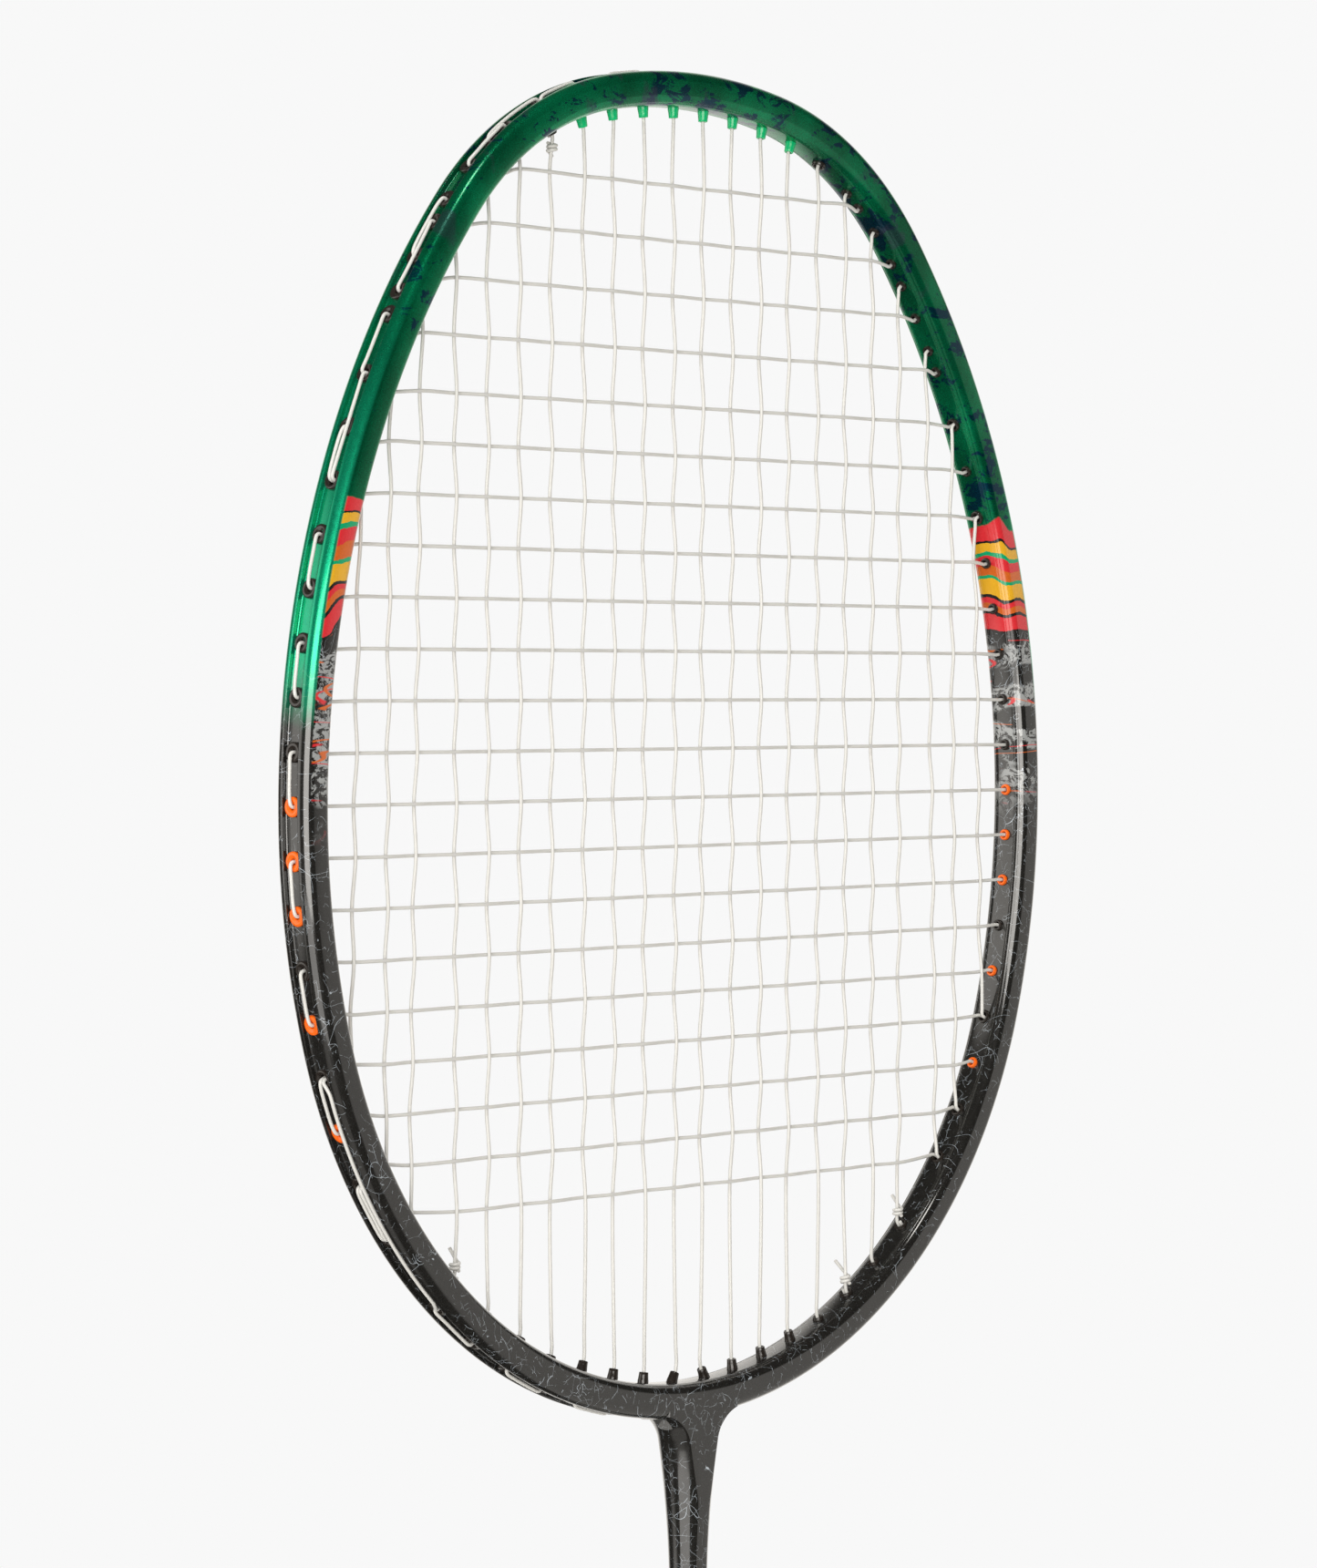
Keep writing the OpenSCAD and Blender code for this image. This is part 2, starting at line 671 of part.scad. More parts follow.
cross_route = joined(concat(
    [[raised(bend_at(cross_tie_top), -pair_z)]],
    [loop(cross_tie_top, -pair_z, cross_hole(1, false), cross_last_z(1, false), -track)],
    [for (j = [1:cross_count]) let (right = j % 2 == 1) joined([
        right ? cross_run(j) : reversed(cross_run(j)),
        j == cross_count ? [] : loop(cross_hole(j, right), cross_last_z(j, right),
            cross_hole(j + 1, right), cross_last_z(j + 1, right), -track)
    ])],
    [loop(cross_hole(cross_count, true), -pair_z, cross_tie_low, -pair_z, -tie_track)],
    [[raised(bend_at(cross_tie_low), -pair_z)]]
));

cord_sides = 6;
function unit(v) = v / norm(v);
function cord_ring(route, i, r) =
    let (
        last = len(route) - 1,
        before = unit(route[max(i, 1)] - route[max(i, 1) - 1]),
        after = unit(route[min(i + 1, last)] - route[min(i, last - 1)]),
        along = unit(before + after),
        across = unit(cross([0, 0, 1], along)),
        up = cross(along, across),
        mitre = 1 / max(norm(before + after) / 2, 0.5)
    ) [for (s = [0:cord_sides - 1]) let (a = s * 360 / cord_sides)
        route[i] + across * (r * cos(a) * mitre) + up * (r * sin(a))];

module cord(route, r) {
    n = len(route);
    c = cord_sides;
    polyhedron(
        points = [for (i = [0:n - 1]) each cord_ring(route, i, r)],
        faces = concat(
            [[for (s = [0:c - 1]) s]],
            [for (i = [0:n - 2], s = [0:c - 1])
                [i * c + s, (i + 1) * c + s, (i + 1) * c + (s + 1) % c, i * c + (s + 1) % c]],
            [[for (s = [c - 1:-1:0]) (n - 1) * c + s]]
        )
    );
}

module main_string() { color("#e6e3d8") upright() cord(main_route, string_r * 1.05); }
module cross_string() { color("#e6e3d8") upright() cord(cross_route, string_r * 1.05); }

// ---- Knots: two turns round the main string beside the hole, and the cut end

knot_turn_r = 2 * string_r + 0.08;
knot_first = 1.2;

module knot(k, top, tail, lean) {
    z = main_z(k, top);
    p = main_end(k, top);
    q = on_main(k, p[1] + (top ? -settle : settle));
    d = unit(raised(q, 0) - raised(p, z));
    at = raised(p, z) + d * knot_first;
    translate(at) rotate([0, 0, atan2(d[1], d[0])]) rotate([0, acos(d[2]), 0]) {
        for (i = [0, 1]) translate([0, 0, i * (string_d + 0.03)])
            rotate_extrude($fn = 32) translate([knot_turn_r, 0]) circle(string_r, $fn = 24);
        if (tail > 0) rotate([0, 0, lean]) translate([knot_turn_r, 0, string_d])
            rotate([0, 12, 0]) cylinder(r = string_r, h = tail, $fn = 24);
    }
}

module main_knots() {
    color("#e6e3d8") upright() {
        knot(4, false, 3.2, 90);
        knot(19, false, 3.2, 90);
    }
}

module cross_knots() {
    color("#e6e3d8") upright() {
        knot(7, true, 0, 0);
        knot(17, false, 4.6, 90);
    }
}

head_frame();
t_joint();
shaft();
shaft_pin();
cone_cap();
handle_core();
base_grip();
grip_end_tape();
butt_cap();
butt_disc();
grommets_tip();
grommets_shoulder_left();
grommets_shoulder_right();
grommets_side_left();
grommets_side_right();
grommets_accent_left();
grommets_accent_right();
grommets_shared_left();
grommets_shared_right();
grommets_tie_left();
grommets_tie_right();
grommets_heel_left();
grommets_heel_right();
grommets_throat();
main_string();
cross_string();
main_knots();
cross_knots();
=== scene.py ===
"""Strung badminton racket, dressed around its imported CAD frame.

Lengths are in millimetres, but the properties and the stage are in metres.
"""

import math
from collections import namedtuple

import bmesh
import bpy
from bpy.props import FloatProperty, FloatVectorProperty, PointerProperty
from mathutils import Matrix, Vector


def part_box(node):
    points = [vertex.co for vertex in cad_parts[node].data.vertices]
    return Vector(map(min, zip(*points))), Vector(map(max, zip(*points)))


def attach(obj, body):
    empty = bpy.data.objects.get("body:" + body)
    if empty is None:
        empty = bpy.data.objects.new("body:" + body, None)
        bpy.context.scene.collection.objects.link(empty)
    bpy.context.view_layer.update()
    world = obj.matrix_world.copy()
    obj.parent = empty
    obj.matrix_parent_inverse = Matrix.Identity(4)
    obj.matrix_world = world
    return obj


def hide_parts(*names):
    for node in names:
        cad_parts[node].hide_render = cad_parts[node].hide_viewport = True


bl_info = {
    "name": "Badminton racket",
    "version": (1, 0, 0),
    "blender": (4, 5, 0),
    "location": "3D View > Sidebar > Racket",
    "description": "Builds the visible pieces of a strung badminton racket",
    "category": "Add Mesh",
}

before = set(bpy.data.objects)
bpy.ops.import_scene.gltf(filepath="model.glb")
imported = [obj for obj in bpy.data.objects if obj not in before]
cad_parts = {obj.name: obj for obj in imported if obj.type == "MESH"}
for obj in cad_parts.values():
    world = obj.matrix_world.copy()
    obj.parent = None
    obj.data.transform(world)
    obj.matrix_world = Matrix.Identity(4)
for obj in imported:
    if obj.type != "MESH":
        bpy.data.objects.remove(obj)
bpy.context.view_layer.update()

MM = 0.001


class NodeBox:
    """The box of a CAD node, in millimetres."""

    def __init__(self, node):
        low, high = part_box(node)
        self.bottom, self.top = low.z / MM, high.z / MM
        self.width = (high.x - low.x) / MM
        self.thickness = (high.y - low.y) / MM


HEAD = NodeBox("head_frame")
SHAFT = NodeBox("shaft")
GRIP = NodeBox("base_grip")
TAPE = NodeBox("grip_end_tape")
CONE = NodeBox("cone_cap")
CAP = NodeBox("butt_cap")
DISC = NodeBox("butt_disc")


# ---- Sizes and colours that a user may change


def length(name, description, default):
    return FloatProperty(name=name, description=description, default=default, min=0.0, unit="LENGTH")


def colour(name, description, default):
    return FloatVectorProperty(
        name=name, description=description, default=default, size=3, min=0.0, max=1.0, subtype="COLOR"
    )


class RacketHeadSizes(bpy.types.PropertyGroup):
    """Sizes of the head's curve and of the frame's section"""

    width: length("Head width", "Widest outside width", HEAD.width * MM)
    height: length("Head length", "Outside, from the tip down to the heel", 0.252)
    widest: length("Tip to widest", "From the tip down to the widest place", 0.136)
    tip_radius: length("Tip radius", "Inner radius at the tip", 0.118)
    shoulder_radius: length("Shoulder radius", "Inner radius at the shoulders", 0.062)
    side_radius: length("Side radius", "Inner radius above the widest place", 0.168)
    low_side_radius: length("Lower side radius", "Inner radius under the widest place", 0.15)
    depth: length("Frame depth", "From the inner wall to the outer rim", 0.0064)
    thickness: length("Frame thickness", "Front to back", 0.0082)
    groove_width: length("Groove width", "Width of the groove outside", 0.0038)
    groove_depth: length("Groove depth", "Depth of the groove outside", 0.0011)
    neck: length("Neck length", "From the heel to the shaft", 0.035)


class RacketStringSizes(bpy.types.PropertyGroup):
    """Sizes of the string bed"""

    diameter: length("String diameter", "Gauge of both strings", 0.00068)
    main_pitch: length("Main pitch", "Distance between two mains", 0.00838)
    cross_pitch: length("Cross pitch", "Distance between two crosses", 0.00915)
    tip_pitch: length("Tip pitch", "Distance between the crosses at the tip", 0.0103)
    weave: length("Weave", "How far each string bends at a crossing", 0.00036)


class RacketHandleSizes(bpy.types.PropertyGroup):
    """Sizes of the shaft and the wrapped handle"""

    shaft_diameter: length("Shaft diameter", "Outside diameter", SHAFT.width * MM)
    grip_width: length("Grip width", "Over the wrap, above the flare", 0.0268)
    grip_thickness: length("Grip thickness", "Over the wrap, above the flare", 0.024)
    wrap_pitch: length("Wrap pitch", "Height of one turn of the wrap", 0.0235)
    wrap_lap: length("Wrap lap", "Width of the overlap between two turns", 0.0032)
    wrap_step: length("Wrap step", "Height of the overlap's edge", 0.0006)


class RacketColours(bpy.types.PropertyGroup):
    """Colours of the paint, the strings and the trim"""

    green: colour("Green", "Lacquer of the upper half", (0.0, 0.17, 0.07))
    # Rim green is a painted highlight: a lighter copy of the green that the outer rim takes low on the
    # head, where light shines on it.
    rim_green: colour("Rim green", "Outer rim just above the black", (0.01, 0.52, 0.27))
    bright_green: colour("Bright green", "Lighter lacquer", (0.0, 0.32, 0.13))
    blue: colour("Blue", "Brushed patches in the green", (0.0, 0.03, 0.085))
    violet: colour("Violet grey", "Soft patches in the green", (0.06, 0.075, 0.13))
    black: colour("Black", "Lacquer of the lower half", (0.0095, 0.009, 0.008))
    red: colour("Red", "Bands and strokes", (0.6, 0.022, 0.03))
    orange: colour("Orange", "Bands and strokes", (0.55, 0.11, 0.012))
    yellow: colour("Yellow", "Bands", (0.68, 0.36, 0.015))
    splash: colour("Splash grey", "Splashes on the black", (0.3, 0.31, 0.31))
    hair: colour("Hair lines", "Fine lines on the black", (0.5, 0.56, 0.62))
    string: colour("String", "Both strings", (0.63, 0.625, 0.6))
    plug_green: colour("Green grommet", "Grommets at the tip", (0.0, 0.46, 0.16))
    plug_dark: colour("Dark grommet", "Most grommets", (0.019, 0.015, 0.0125))
    plug_orange: colour("Orange grommet", "Grommets at the sides", (0.9, 0.13, 0.004))
    grip: colour("Grip", "Wrap of the handle", (0.018, 0.018, 0.02))
    wood: colour("Wood", "Core of the handle", (0.55, 0.36, 0.19))


# ---- Stringing pattern. Mains count from the left, crosses from the tip

MAINS = 22
CROSSES = 21
MIDDLE_CROSS = 11
MID_CROSS_HEIGHT = 134.7  # from the heel
FIRST_EVEN_CROSS = 5  # the crosses above it lie further apart
# mains of the right half that share a hole with a cross, at the tip and at the heel
SHARED_TOP = {21: 5, 22: 7}
SHARED_LOW = {20: 21, 21: 20, 22: 18}
# mains of the right half that have a wide hole for a knot's string
TIE_TOP = (16,)
TIE_LOW = (17, 19)
MAIN_TIES = (4, 19)  # both at the heel
CROSS_TIE_TOP = 7
CROSS_TIE_LOW = 17
THROAT_MAIN = 12
THROAT_SLANT = 23.0  # degrees
LAST_LONG_TUBE = 15

# ---- Sizes of the grommets

LONG_TUBE = 2.1  # inside the head
SHORT_TUBE = 0.8
GROMMET_WALL = 0.5
FLANGE_HEIGHT = 0.7
BORE_R = 0.55
WIDE_BORE_R = 0.825
FLANGE_R = 1.82
WIDE_FLANGE_R = 1.84

# ---- Places of the strings in the holes and in the groove

BEND_GAP = 0.45  # from a tube's end to where the string bends
END_ROOM = 0.7  # from a main's end to the nearest cross that it can meet
SETTLE = 5.0  # height over which a main's bends grow from nothing
CROSS_LEAN = 0.15  # of a cross in its hole, to the side on which it passes the first main
HELD_SHARE = 0.15  # of the first gap, over which a string comes straight out of its hole
PAIR_Z = 0.36  # two strings in one hole lie this far in front and behind
TRACK = 0.49  # from the groove's middle, where loops of both strings run side by side
LONE_TRACK = 0.05  # where a loop has its stretch of the groove to itself
TIE_TRACK = 1.45  # where a knot's string passes beside the other loops
ASIDE = 0.2  # in the mouth of a hole beside which the other string runs
MOUTH = 0.85  # depth in the hole at which the loop begins
LOOP_CLEARANCE = 0.05  # over the flange
# a loop's rise out of its hole: depth under the loop, way along the groove, share of the way aside
LOOP_RISE = ((0.4, 0.12, 0.0), (0.1, 0.5, 0.1), (0.0, 1.2, 0.5), (0.0, 2.6, 1.0))
LOOP_STEP = 1.6  # degrees

# The direction is the outward normal's, in degrees: 90 at the tip, 0 and 180 at the sides,
# -90 or 270 at the heel. The slant leans a hole's outer end away from the middle.
Hole = namedtuple("Hole", "direction tube wide slant")
# a string's passage through a hole, z to the front
Stop = namedtuple("Stop", "hole z")


def cosd(a):
    return math.cos(math.radians(a))


def sind(a):
    return math.sin(math.radians(a))


def outward(a):
    return Vector((cosd(a), sind(a)))


def within(a, low, high):
    return low - 1e-6 <= a <= high + 1e-6


def raised(p, z):
    return Vector((p.x, p.y, z))


# ---- The plane of the strings: x to the right, y along the racket, z to the front


class Head:
    """The head's inner wall as five arcs a side, with its holes and the lines of the strings."""

    def __init__(self, sizes, strings):
        self.half = sizes.thickness / MM / 2
        self.depth = sizes.depth / MM
        self.groove_half = sizes.groove_width / MM / 2
        self.seat = self.depth - sizes.groove_depth / MM
        self.heel_y = round(HEAD.top - sizes.height / MM)
        self.string_r = strings.diameter / MM / 2
        self.main_pitch = strings.main_pitch / MM
        self.cross_pitch = strings.cross_pitch / MM
        self.tip_pitch = strings.tip_pitch / MM
        self.loop_out = self.seat + FLANGE_HEIGHT + self.string_r + LOOP_CLEARANCE
        self._place_arcs(sizes, round(HEAD.top))

    def _place_arcs(self, sizes, tip_y):
        """Lists the arcs from tip to heel as (centre, radius, lowest and highest direction)."""
        tip_r, shoulder_r = sizes.tip_radius / MM, sizes.shoulder_radius / MM
        side_r, low_r = sizes.side_radius / MM, sizes.low_side_radius / MM
        half_width = round(sizes.width / MM) / 2 - self.depth
        widest_y = tip_y - sizes.widest / MM
        inner_heel = self.heel_y + self.depth
        tip_c = Vector((0, tip_y - self.depth - tip_r))
        side_c = Vector((half_width - side_r, widest_y))
        low_c = Vector((half_width - low_r, widest_y))
        # the shoulder's circle touches the tip's and the side's from inside
        a, b, gap = tip_r - shoulder_r, side_r - shoulder_r, side_c - tip_c
        along = (a * a - b * b + gap.length_squared) / (2 * gap.length)
        aside = math.sqrt(a * a - along * along)
        way = gap.normalized()
        shoulder_c = tip_c + way * along + Vector((way.y, -way.x)) * aside
        tip_a = math.degrees(math.atan2(*reversed(shoulder_c - tip_c)))
        side_a = math.degrees(math.atan2(*reversed(shoulder_c - side_c)))
        rise = widest_y - inner_heel
        heel_r = (low_r**2 - low_c.x**2 - rise**2) / (2 * (low_r - rise))
        heel_c = Vector((0, inner_heel + heel_r))
        heel_a = math.degrees(math.atan2(*reversed(heel_c - low_c)))
        self.heel_c, self.side_c, self.side_r = heel_c, side_c, side_r
        self.tightest_r = shoulder_r
        self.arcs = [
            (tip_c, tip_r, tip_a, 90.0),
            (shoulder_c, shoulder_r, side_a, tip_a),
            (side_c, side_r, 0.0, side_a),
            (low_c, low_r, heel_a, 0.0),
            (heel_c, heel_r, -90.0, heel_a),
        ]

    @staticmethod
    def folded(a):
        """The direction on the right half that mirrors one on the left."""
        return 180 - a if a > 90 else a

    def arc_at(self, a):
        return next(arc for arc in self.arcs if within(self.folded(a), arc[2], arc[3]))

    def curve_at(self, a, out=0.0):
        """The place at a direction, at a distance out from the inner wall."""
        centre, r, _, _ = self.arc_at(a)
        p = centre + outward(self.folded(a)) * (r + out)
        return Vector((-p.x, p.y)) if a > 90 else p

    def angles_at_x(self, x):
        """Directions at which the right half's inner wall meets an upright line."""
        found = []
        for centre, r, low, high in self.arcs:
            c = (x - centre.x) / r
            if abs(c) <= 1:
                a = math.degrees(math.acos(c))
                found += [v for v in (a, -a) if within(v, low, high)]
        return found

    def angle_at_y(self, y):
        """Direction at which the right half's inner wall reaches a height."""
        for centre, r, low, high in self.arcs:
            s = (y - centre.y) / r
            if abs(s) <= 1:
                a = math.degrees(math.asin(s))
                if within(a, low, high):
                    return a
        raise ValueError(f"no part of the head lies at height {y}")

    def main_x(self, k):
        return (k - 1 - (MAINS - 1) / 2) * self.main_pitch

    def cross_y(self, j):
        above = max(FIRST_EVEN_CROSS - j, 0) * self.tip_pitch
        even = (MIDDLE_CROSS - max(j, FIRST_EVEN_CROSS)) * self.cross_pitch
        return self.heel_y + MID_CROSS_HEIGHT + even + above

    @staticmethod
    def mirrored(k):
        """The number of a main, or of its mirror image if it is in the left half."""
        return k if k > MAINS / 2 else MAINS + 1 - k

    def main_hole(self, k, top):
        """A main's hole at the tip or at the heel, which may be a cross's hole too."""
        m = self.mirrored(k)
        shared = (SHARED_TOP if top else SHARED_LOW).get(m)
        tube = LONG_TUBE if m <= LAST_LONG_TUBE else SHORT_TUBE
        wide = shared is not None or m in (TIE_TOP if top else TIE_LOW)
        slant = THROAT_SLANT if not top and m == THROAT_MAIN else 0.0
        if shared is not None:
            a = self.angle_at_y(self.cross_y(shared))
        else:
            x = self.main_x(m) + tube / 2 * math.tan(math.radians(slant))
            a = (max if top else min)(self.angles_at_x(x))
        return Hole(a if k > MAINS / 2 else 180 - a, tube, wide, slant)

    def cross_hole(self, j, right):
        a = self.angle_at_y(self.cross_y(j))
        wide = j in SHARED_TOP.values() or j in SHARED_LOW.values()
        return Hole(a if right else 180 - a, SHORT_TUBE, wide, 0.0)

    @staticmethod
    def slant_way(hole):
        """The way outward along a hole's axis."""
        side = -1 if hole.direction > 90 else 1
        return outward(hole.direction + side * hole.slant)

    def hole_at(self, hole, out):
        """A place on a hole's axis, at a distance out from the inner wall."""
        return self.curve_at(hole.direction) + self.slant_way(hole) * (out / cosd(hole.slant))

    def bend_at(self, hole):
        return self.hole_at(hole, -(hole.tube + BEND_GAP))

    def all_holes(self):
        """Every hole once, also those that a main and a cross share."""
        mains = range(1, MAINS + 1)
        lone_crosses = [j for j in range(1, CROSSES + 1) if j not in SHARED_TOP.values()]
        holes = [self.main_hole(k, True) for k in mains]
        holes += [self.main_hole(k, False) for k in mains if self.mirrored(k) not in SHARED_LOW]
        holes += [self.cross_hole(j, right) for j in lone_crosses for right in (False, True)]
        return holes


# ---- Routes of the strings


class Stringing(Head):
    """The two strings' routes through the holes, along the groove and across the bed."""

    def __init__(self, sizes, strings):
        super().__init__(sizes, strings)
        self.weave = strings.weave / MM

    def main_z(self, k, top):
        """A main's place in its hole, front or behind where another string passes too."""
        shared = self.mirrored(k) in (SHARED_TOP if top else SHARED_LOW)
        if shared or k == (CROSS_TIE_TOP if top else CROSS_TIE_LOW):
            return PAIR_Z
        return -PAIR_Z if not top and k in MAIN_TIES else 0.0

    def main_stop(self, k, top):
        return Stop(self.main_hole(k, top), self.main_z(k, top))

    def cross_stop(self, j, right):
        """A cross's place in its hole, behind where a main passes too."""
        hole = self.cross_hole(j, right)
        ks = self.met_by(j)
        lean = CROSS_LEAN * self.over(j, ks[-1] if right else ks[0])
        return Stop(hole, -PAIR_Z if hole.wide else lean)

    def main_ends(self, k):
        return [self.bend_at(self.main_hole(k, top)) for top in (False, True)]

    def on_main(self, k, y):
        low, high = self.main_ends(k)
        return low + (high - low) * ((y - low.y) / (high.y - low.y))

    def meets(self, j, k):
        low, high = self.main_ends(k)
        return low.y + END_ROOM < self.cross_y(j) < high.y - END_ROOM

    def met_by(self, j):
        return [k for k in range(1, MAINS + 1) if self.meets(j, k)]

    @staticmethod
    def over(j, k):
        return 1 if (j + k) % 2 == 0 else -1

    def calm(self, k, y):
        """How freely a main bends at a height: 0 at its ends, 1 well away from them."""
        low, high = self.main_ends(k)
        return min(1.0, (y - low.y) / SETTLE, (high.y - y) / SETTLE)

    @staticmethod
    def held(run):
        """The run with a point close behind each end, so that the string is straight from there on."""
        near, far = run[0].lerp(run[1], HELD_SHARE), run[-1].lerp(run[-2], HELD_SHARE)
        return [run[0], near, *run[1:-1], far, run[-1]]

    def main_run(self, k):
        """A main from the heel to the tip, bent by half the weave at each cross."""
        low, high = self.main_ends(k)
        run = [raised(low, self.main_z(k, False))]
        for j in range(CROSSES, 0, -1):
            if self.meets(j, k):
                y = self.cross_y(j)
                run.append(raised(self.on_main(k, y), -self.weave * self.calm(k, y) * self.over(j, k)))
        return self.held(run + [raised(high, self.main_z(k, True))])

    def cross_run(self, j):
        """A cross from left to right, which bends further where the main is held straight."""
        y = self.cross_y(j)
        left, right = (self.cross_stop(j, side) for side in (False, True))
        run = [raised(self.bend_at(left.hole), left.z)]
        for k in self.met_by(j):
            z = self.over(j, k) * (2 - self.calm(k, y)) * self.weave
            run.append(raised(self.on_main(k, y), z))
        return self.held(run + [raised(self.bend_at(right.hole), right.z)])

    def exit_a(self, hole):
        """Direction at which a hole's axis reaches the loops' height."""
        if hole.slant == 0:
            return hole.direction
        p = self.hole_at(hole, self.loop_out) - self.heel_c
        a = math.degrees(math.atan2(p.y, p.x))
        return a + 360 if a < -90 else a

    def loop_half(self, stop, z, way):
        """From inside a hole out to the groove, where the loop runs at z."""
        hole = stop.hole
        r = self.arc_at(hole.direction)[1] + self.loop_out
        a = self.exit_a(hole)
        # each string keeps to its own side of a hole's mouth where both run in the groove
        z_in = stop.z if hole.wide or abs(z) < TRACK else math.copysign(ASIDE, z)
        half = [raised(self.hole_at(hole, self.loop_out - MOUTH), z_in)]
        for depth, along, share in LOOP_RISE:
            place = self.curve_at(a + way * math.degrees(along / r), self.loop_out - depth)
            half.append(raised(place, z_in + (z - z_in) * share))
        return half

    def loop(self, start, end, z):
        """A loop in the groove between two stops, along a track at z."""
        first = self.exit_a(start.hole)
        span = self.exit_a(end.hole) - first
        way = 1 if span > 0 else -1
        taken = math.degrees(LOOP_RISE[-1][1] / self.tightest_r) + LOOP_STEP / 3
        steps = max(math.ceil(abs(span) / LOOP_STEP), 1)
        points = self.loop_half(start, z, way)
        for i in range(1, steps):
            t = span * i / steps
            if min(abs(t), abs(span - t)) > taken:
                points.append(raised(self.curve_at(first + t, self.loop_out), z))
        return points + self.loop_half(end, z, -way)[::-1]

    def main_loops(self):
        """The two stops of each loop of the main string, from knot to knot."""
        left, right = (Stop(self.main_hole(k, False), PAIR_Z) for k in MAIN_TIES)
        tops = [(k, k % 2 == 1) for k in range(1, MAINS)]
        loops = [(self.main_stop(k, top), self.main_stop(k + 1, top)) for k, top in tops]
        return [(left, self.main_stop(1, False)), *loops, (self.main_stop(MAINS, False), right)]

    def cross_loops(self):
        """The two stops of each loop of the cross string, from knot to knot."""
        top = Stop(self.main_hole(CROSS_TIE_TOP, True), -PAIR_Z)
        low = Stop(self.main_hole(CROSS_TIE_LOW, False), -PAIR_Z)
        sides = [(j, j % 2 == 1) for j in range(1, CROSSES)]
        loops = [(self.cross_stop(j, right), self.cross_stop(j + 1, right)) for j, right in sides]
        return [(top, self.cross_stop(1, False)), *loops, (self.cross_stop(CROSSES, True), low)]

    def span(self, loop):
        return sorted(self.exit_a(stop.hole) for stop in loop)

    def track(self, loop, others):
        """How far a loop keeps to one side: further where the other string's loops run beside it."""
        low, high = self.span(loop)
        met = any(min(high, end) > max(low, start) for start, end in map(self.span, others))
        return TRACK if met else LONE_TRACK

    def threaded(self, loops, tracks, runs):
        """One string from knot to knot: its loops, with its runs across the bed between them."""
        first, last = loops[0][0], loops[-1][1]
        route = [raised(self.bend_at(first.hole), first.z)]
        for (start, end), z, run in zip(loops, tracks, [*runs, []]):
            route += self.loop(start, end, z) + run
        return route + [raised(self.bend_at(last.hole), last.z)]

    def main_route(self):
        loops, others = self.main_loops(), self.cross_loops()
        tracks = [self.track(loop, others) for loop in loops[1:-1]]
        runs = [self.main_run(k)[:: 1 if k % 2 else -1] for k in range(1, MAINS + 1)]
        return self.threaded(loops, [TIE_TRACK, *tracks, TIE_TRACK], runs)

    def cross_route(self):
        loops, others = self.cross_loops(), self.main_loops()
        tracks = [-self.track(loop, others) for loop in loops[1:-1]]
        runs = [self.cross_run(j)[:: 1 if j % 2 else -1] for j in range(1, CROSSES + 1)]
        return self.threaded(loops, [-TRACK, *tracks, -TIE_TRACK], runs)


def softened(points, longest=1.5):
    """A smooth line through the points (centripetal Catmull-Rom), with steps no longer than asked."""
    line = [points[0]]
    for i in range(len(points) - 1):
        b, c = points[i], points[i + 1]
        a = points[i - 1] if i else b - (c - b)
        d = points[i + 2] if i + 2 < len(points) else c + (c - b)
        gaps = [max((q - p).length, 1e-4) ** 0.5 for p, q in ((a, b), (b, c), (c, d))]
        t = [0.0, gaps[0], gaps[0] + gaps[1], sum(gaps)]
        steps = max(2, math.ceil((c - b).length / longest))
        for s in range(1, steps + 1):
            x = t[1] + (t[2] - t[1]) * s / steps
            ab = a.lerp(b, (x - t[0]) / (t[1] - t[0]))
            bc = b.lerp(c, (x - t[1]) / (t[2] - t[1]))
            cd = c.lerp(d, (x - t[2]) / (t[3] - t[2]))
            abc = ab.lerp(bc, (x - t[0]) / (t[2] - t[0]))
            bcd = bc.lerp(cd, (x - t[1]) / (t[3] - t[1]))
            line.append(abc.lerp(bcd, (x - t[1]) / (t[2] - t[1])))
    return line


# ---- Making meshes


def upright(p):
    """From the flat head, in millimetres, to the standing racket."""
    return Vector((p[0], -p[2], p[1]))


def new_object(data):
    item = bpy.data.objects.new(data.name, data)
    bpy.context.scene.collection.objects.link(item)
    return item


def solid_mesh(name, points, faces):
    """A mesh with all its faces turned outward."""
    mesh = bpy.data.meshes.new(name)
    mesh.from_pydata([tuple(p) for p in points], [], faces)
    mesh.validate()
    bm = bmesh.new()
    bm.from_mesh(mesh)
    bmesh.ops.recalc_face_normals(bm, faces=bm.faces)
    bm.to_mesh(mesh)
    bm.free()
    return mesh


def ring_faces(rings, sides, closed=False, start=0):
    """Faces between rings of the same number of points, with caps unless the last meets the first."""
    faces = []
    for i in range(rings if closed else rings - 1):
        a, b = start + i * sides, start + (i + 1) % rings * sides
        for s in range(sides):
            n = (s + 1) % sides
            faces.append((a + s, a + n, b + n, b + s))
    if not closed:
        faces.append(tuple(start + s for s in reversed(range(sides))))
        last = start + (rings - 1) * sides
        faces.append(tuple(last + s for s in range(sides)))
    return faces


def loft(name, rings, closed=False):
    points = [p for ring in rings for p in ring]
    return solid_mesh(name, points, ring_faces(len(rings), len(rings[0]), closed))


def ring_at(z, sides, radius):
    """A ring round Z, with its radius given for each direction."""
    ring = []
    for s in range(sides):
        a = 360 * s / sides
        r = radius(a)
        ring.append(Vector((r * cosd(a), r * sind(a), z)))
    return ring


def lathe_rings(profile, sides):
    """Rings round Z of a closed profile of (radius, height)."""
    return [ring_at(z, sides, lambda a, r=r: r) for r, z in profile]


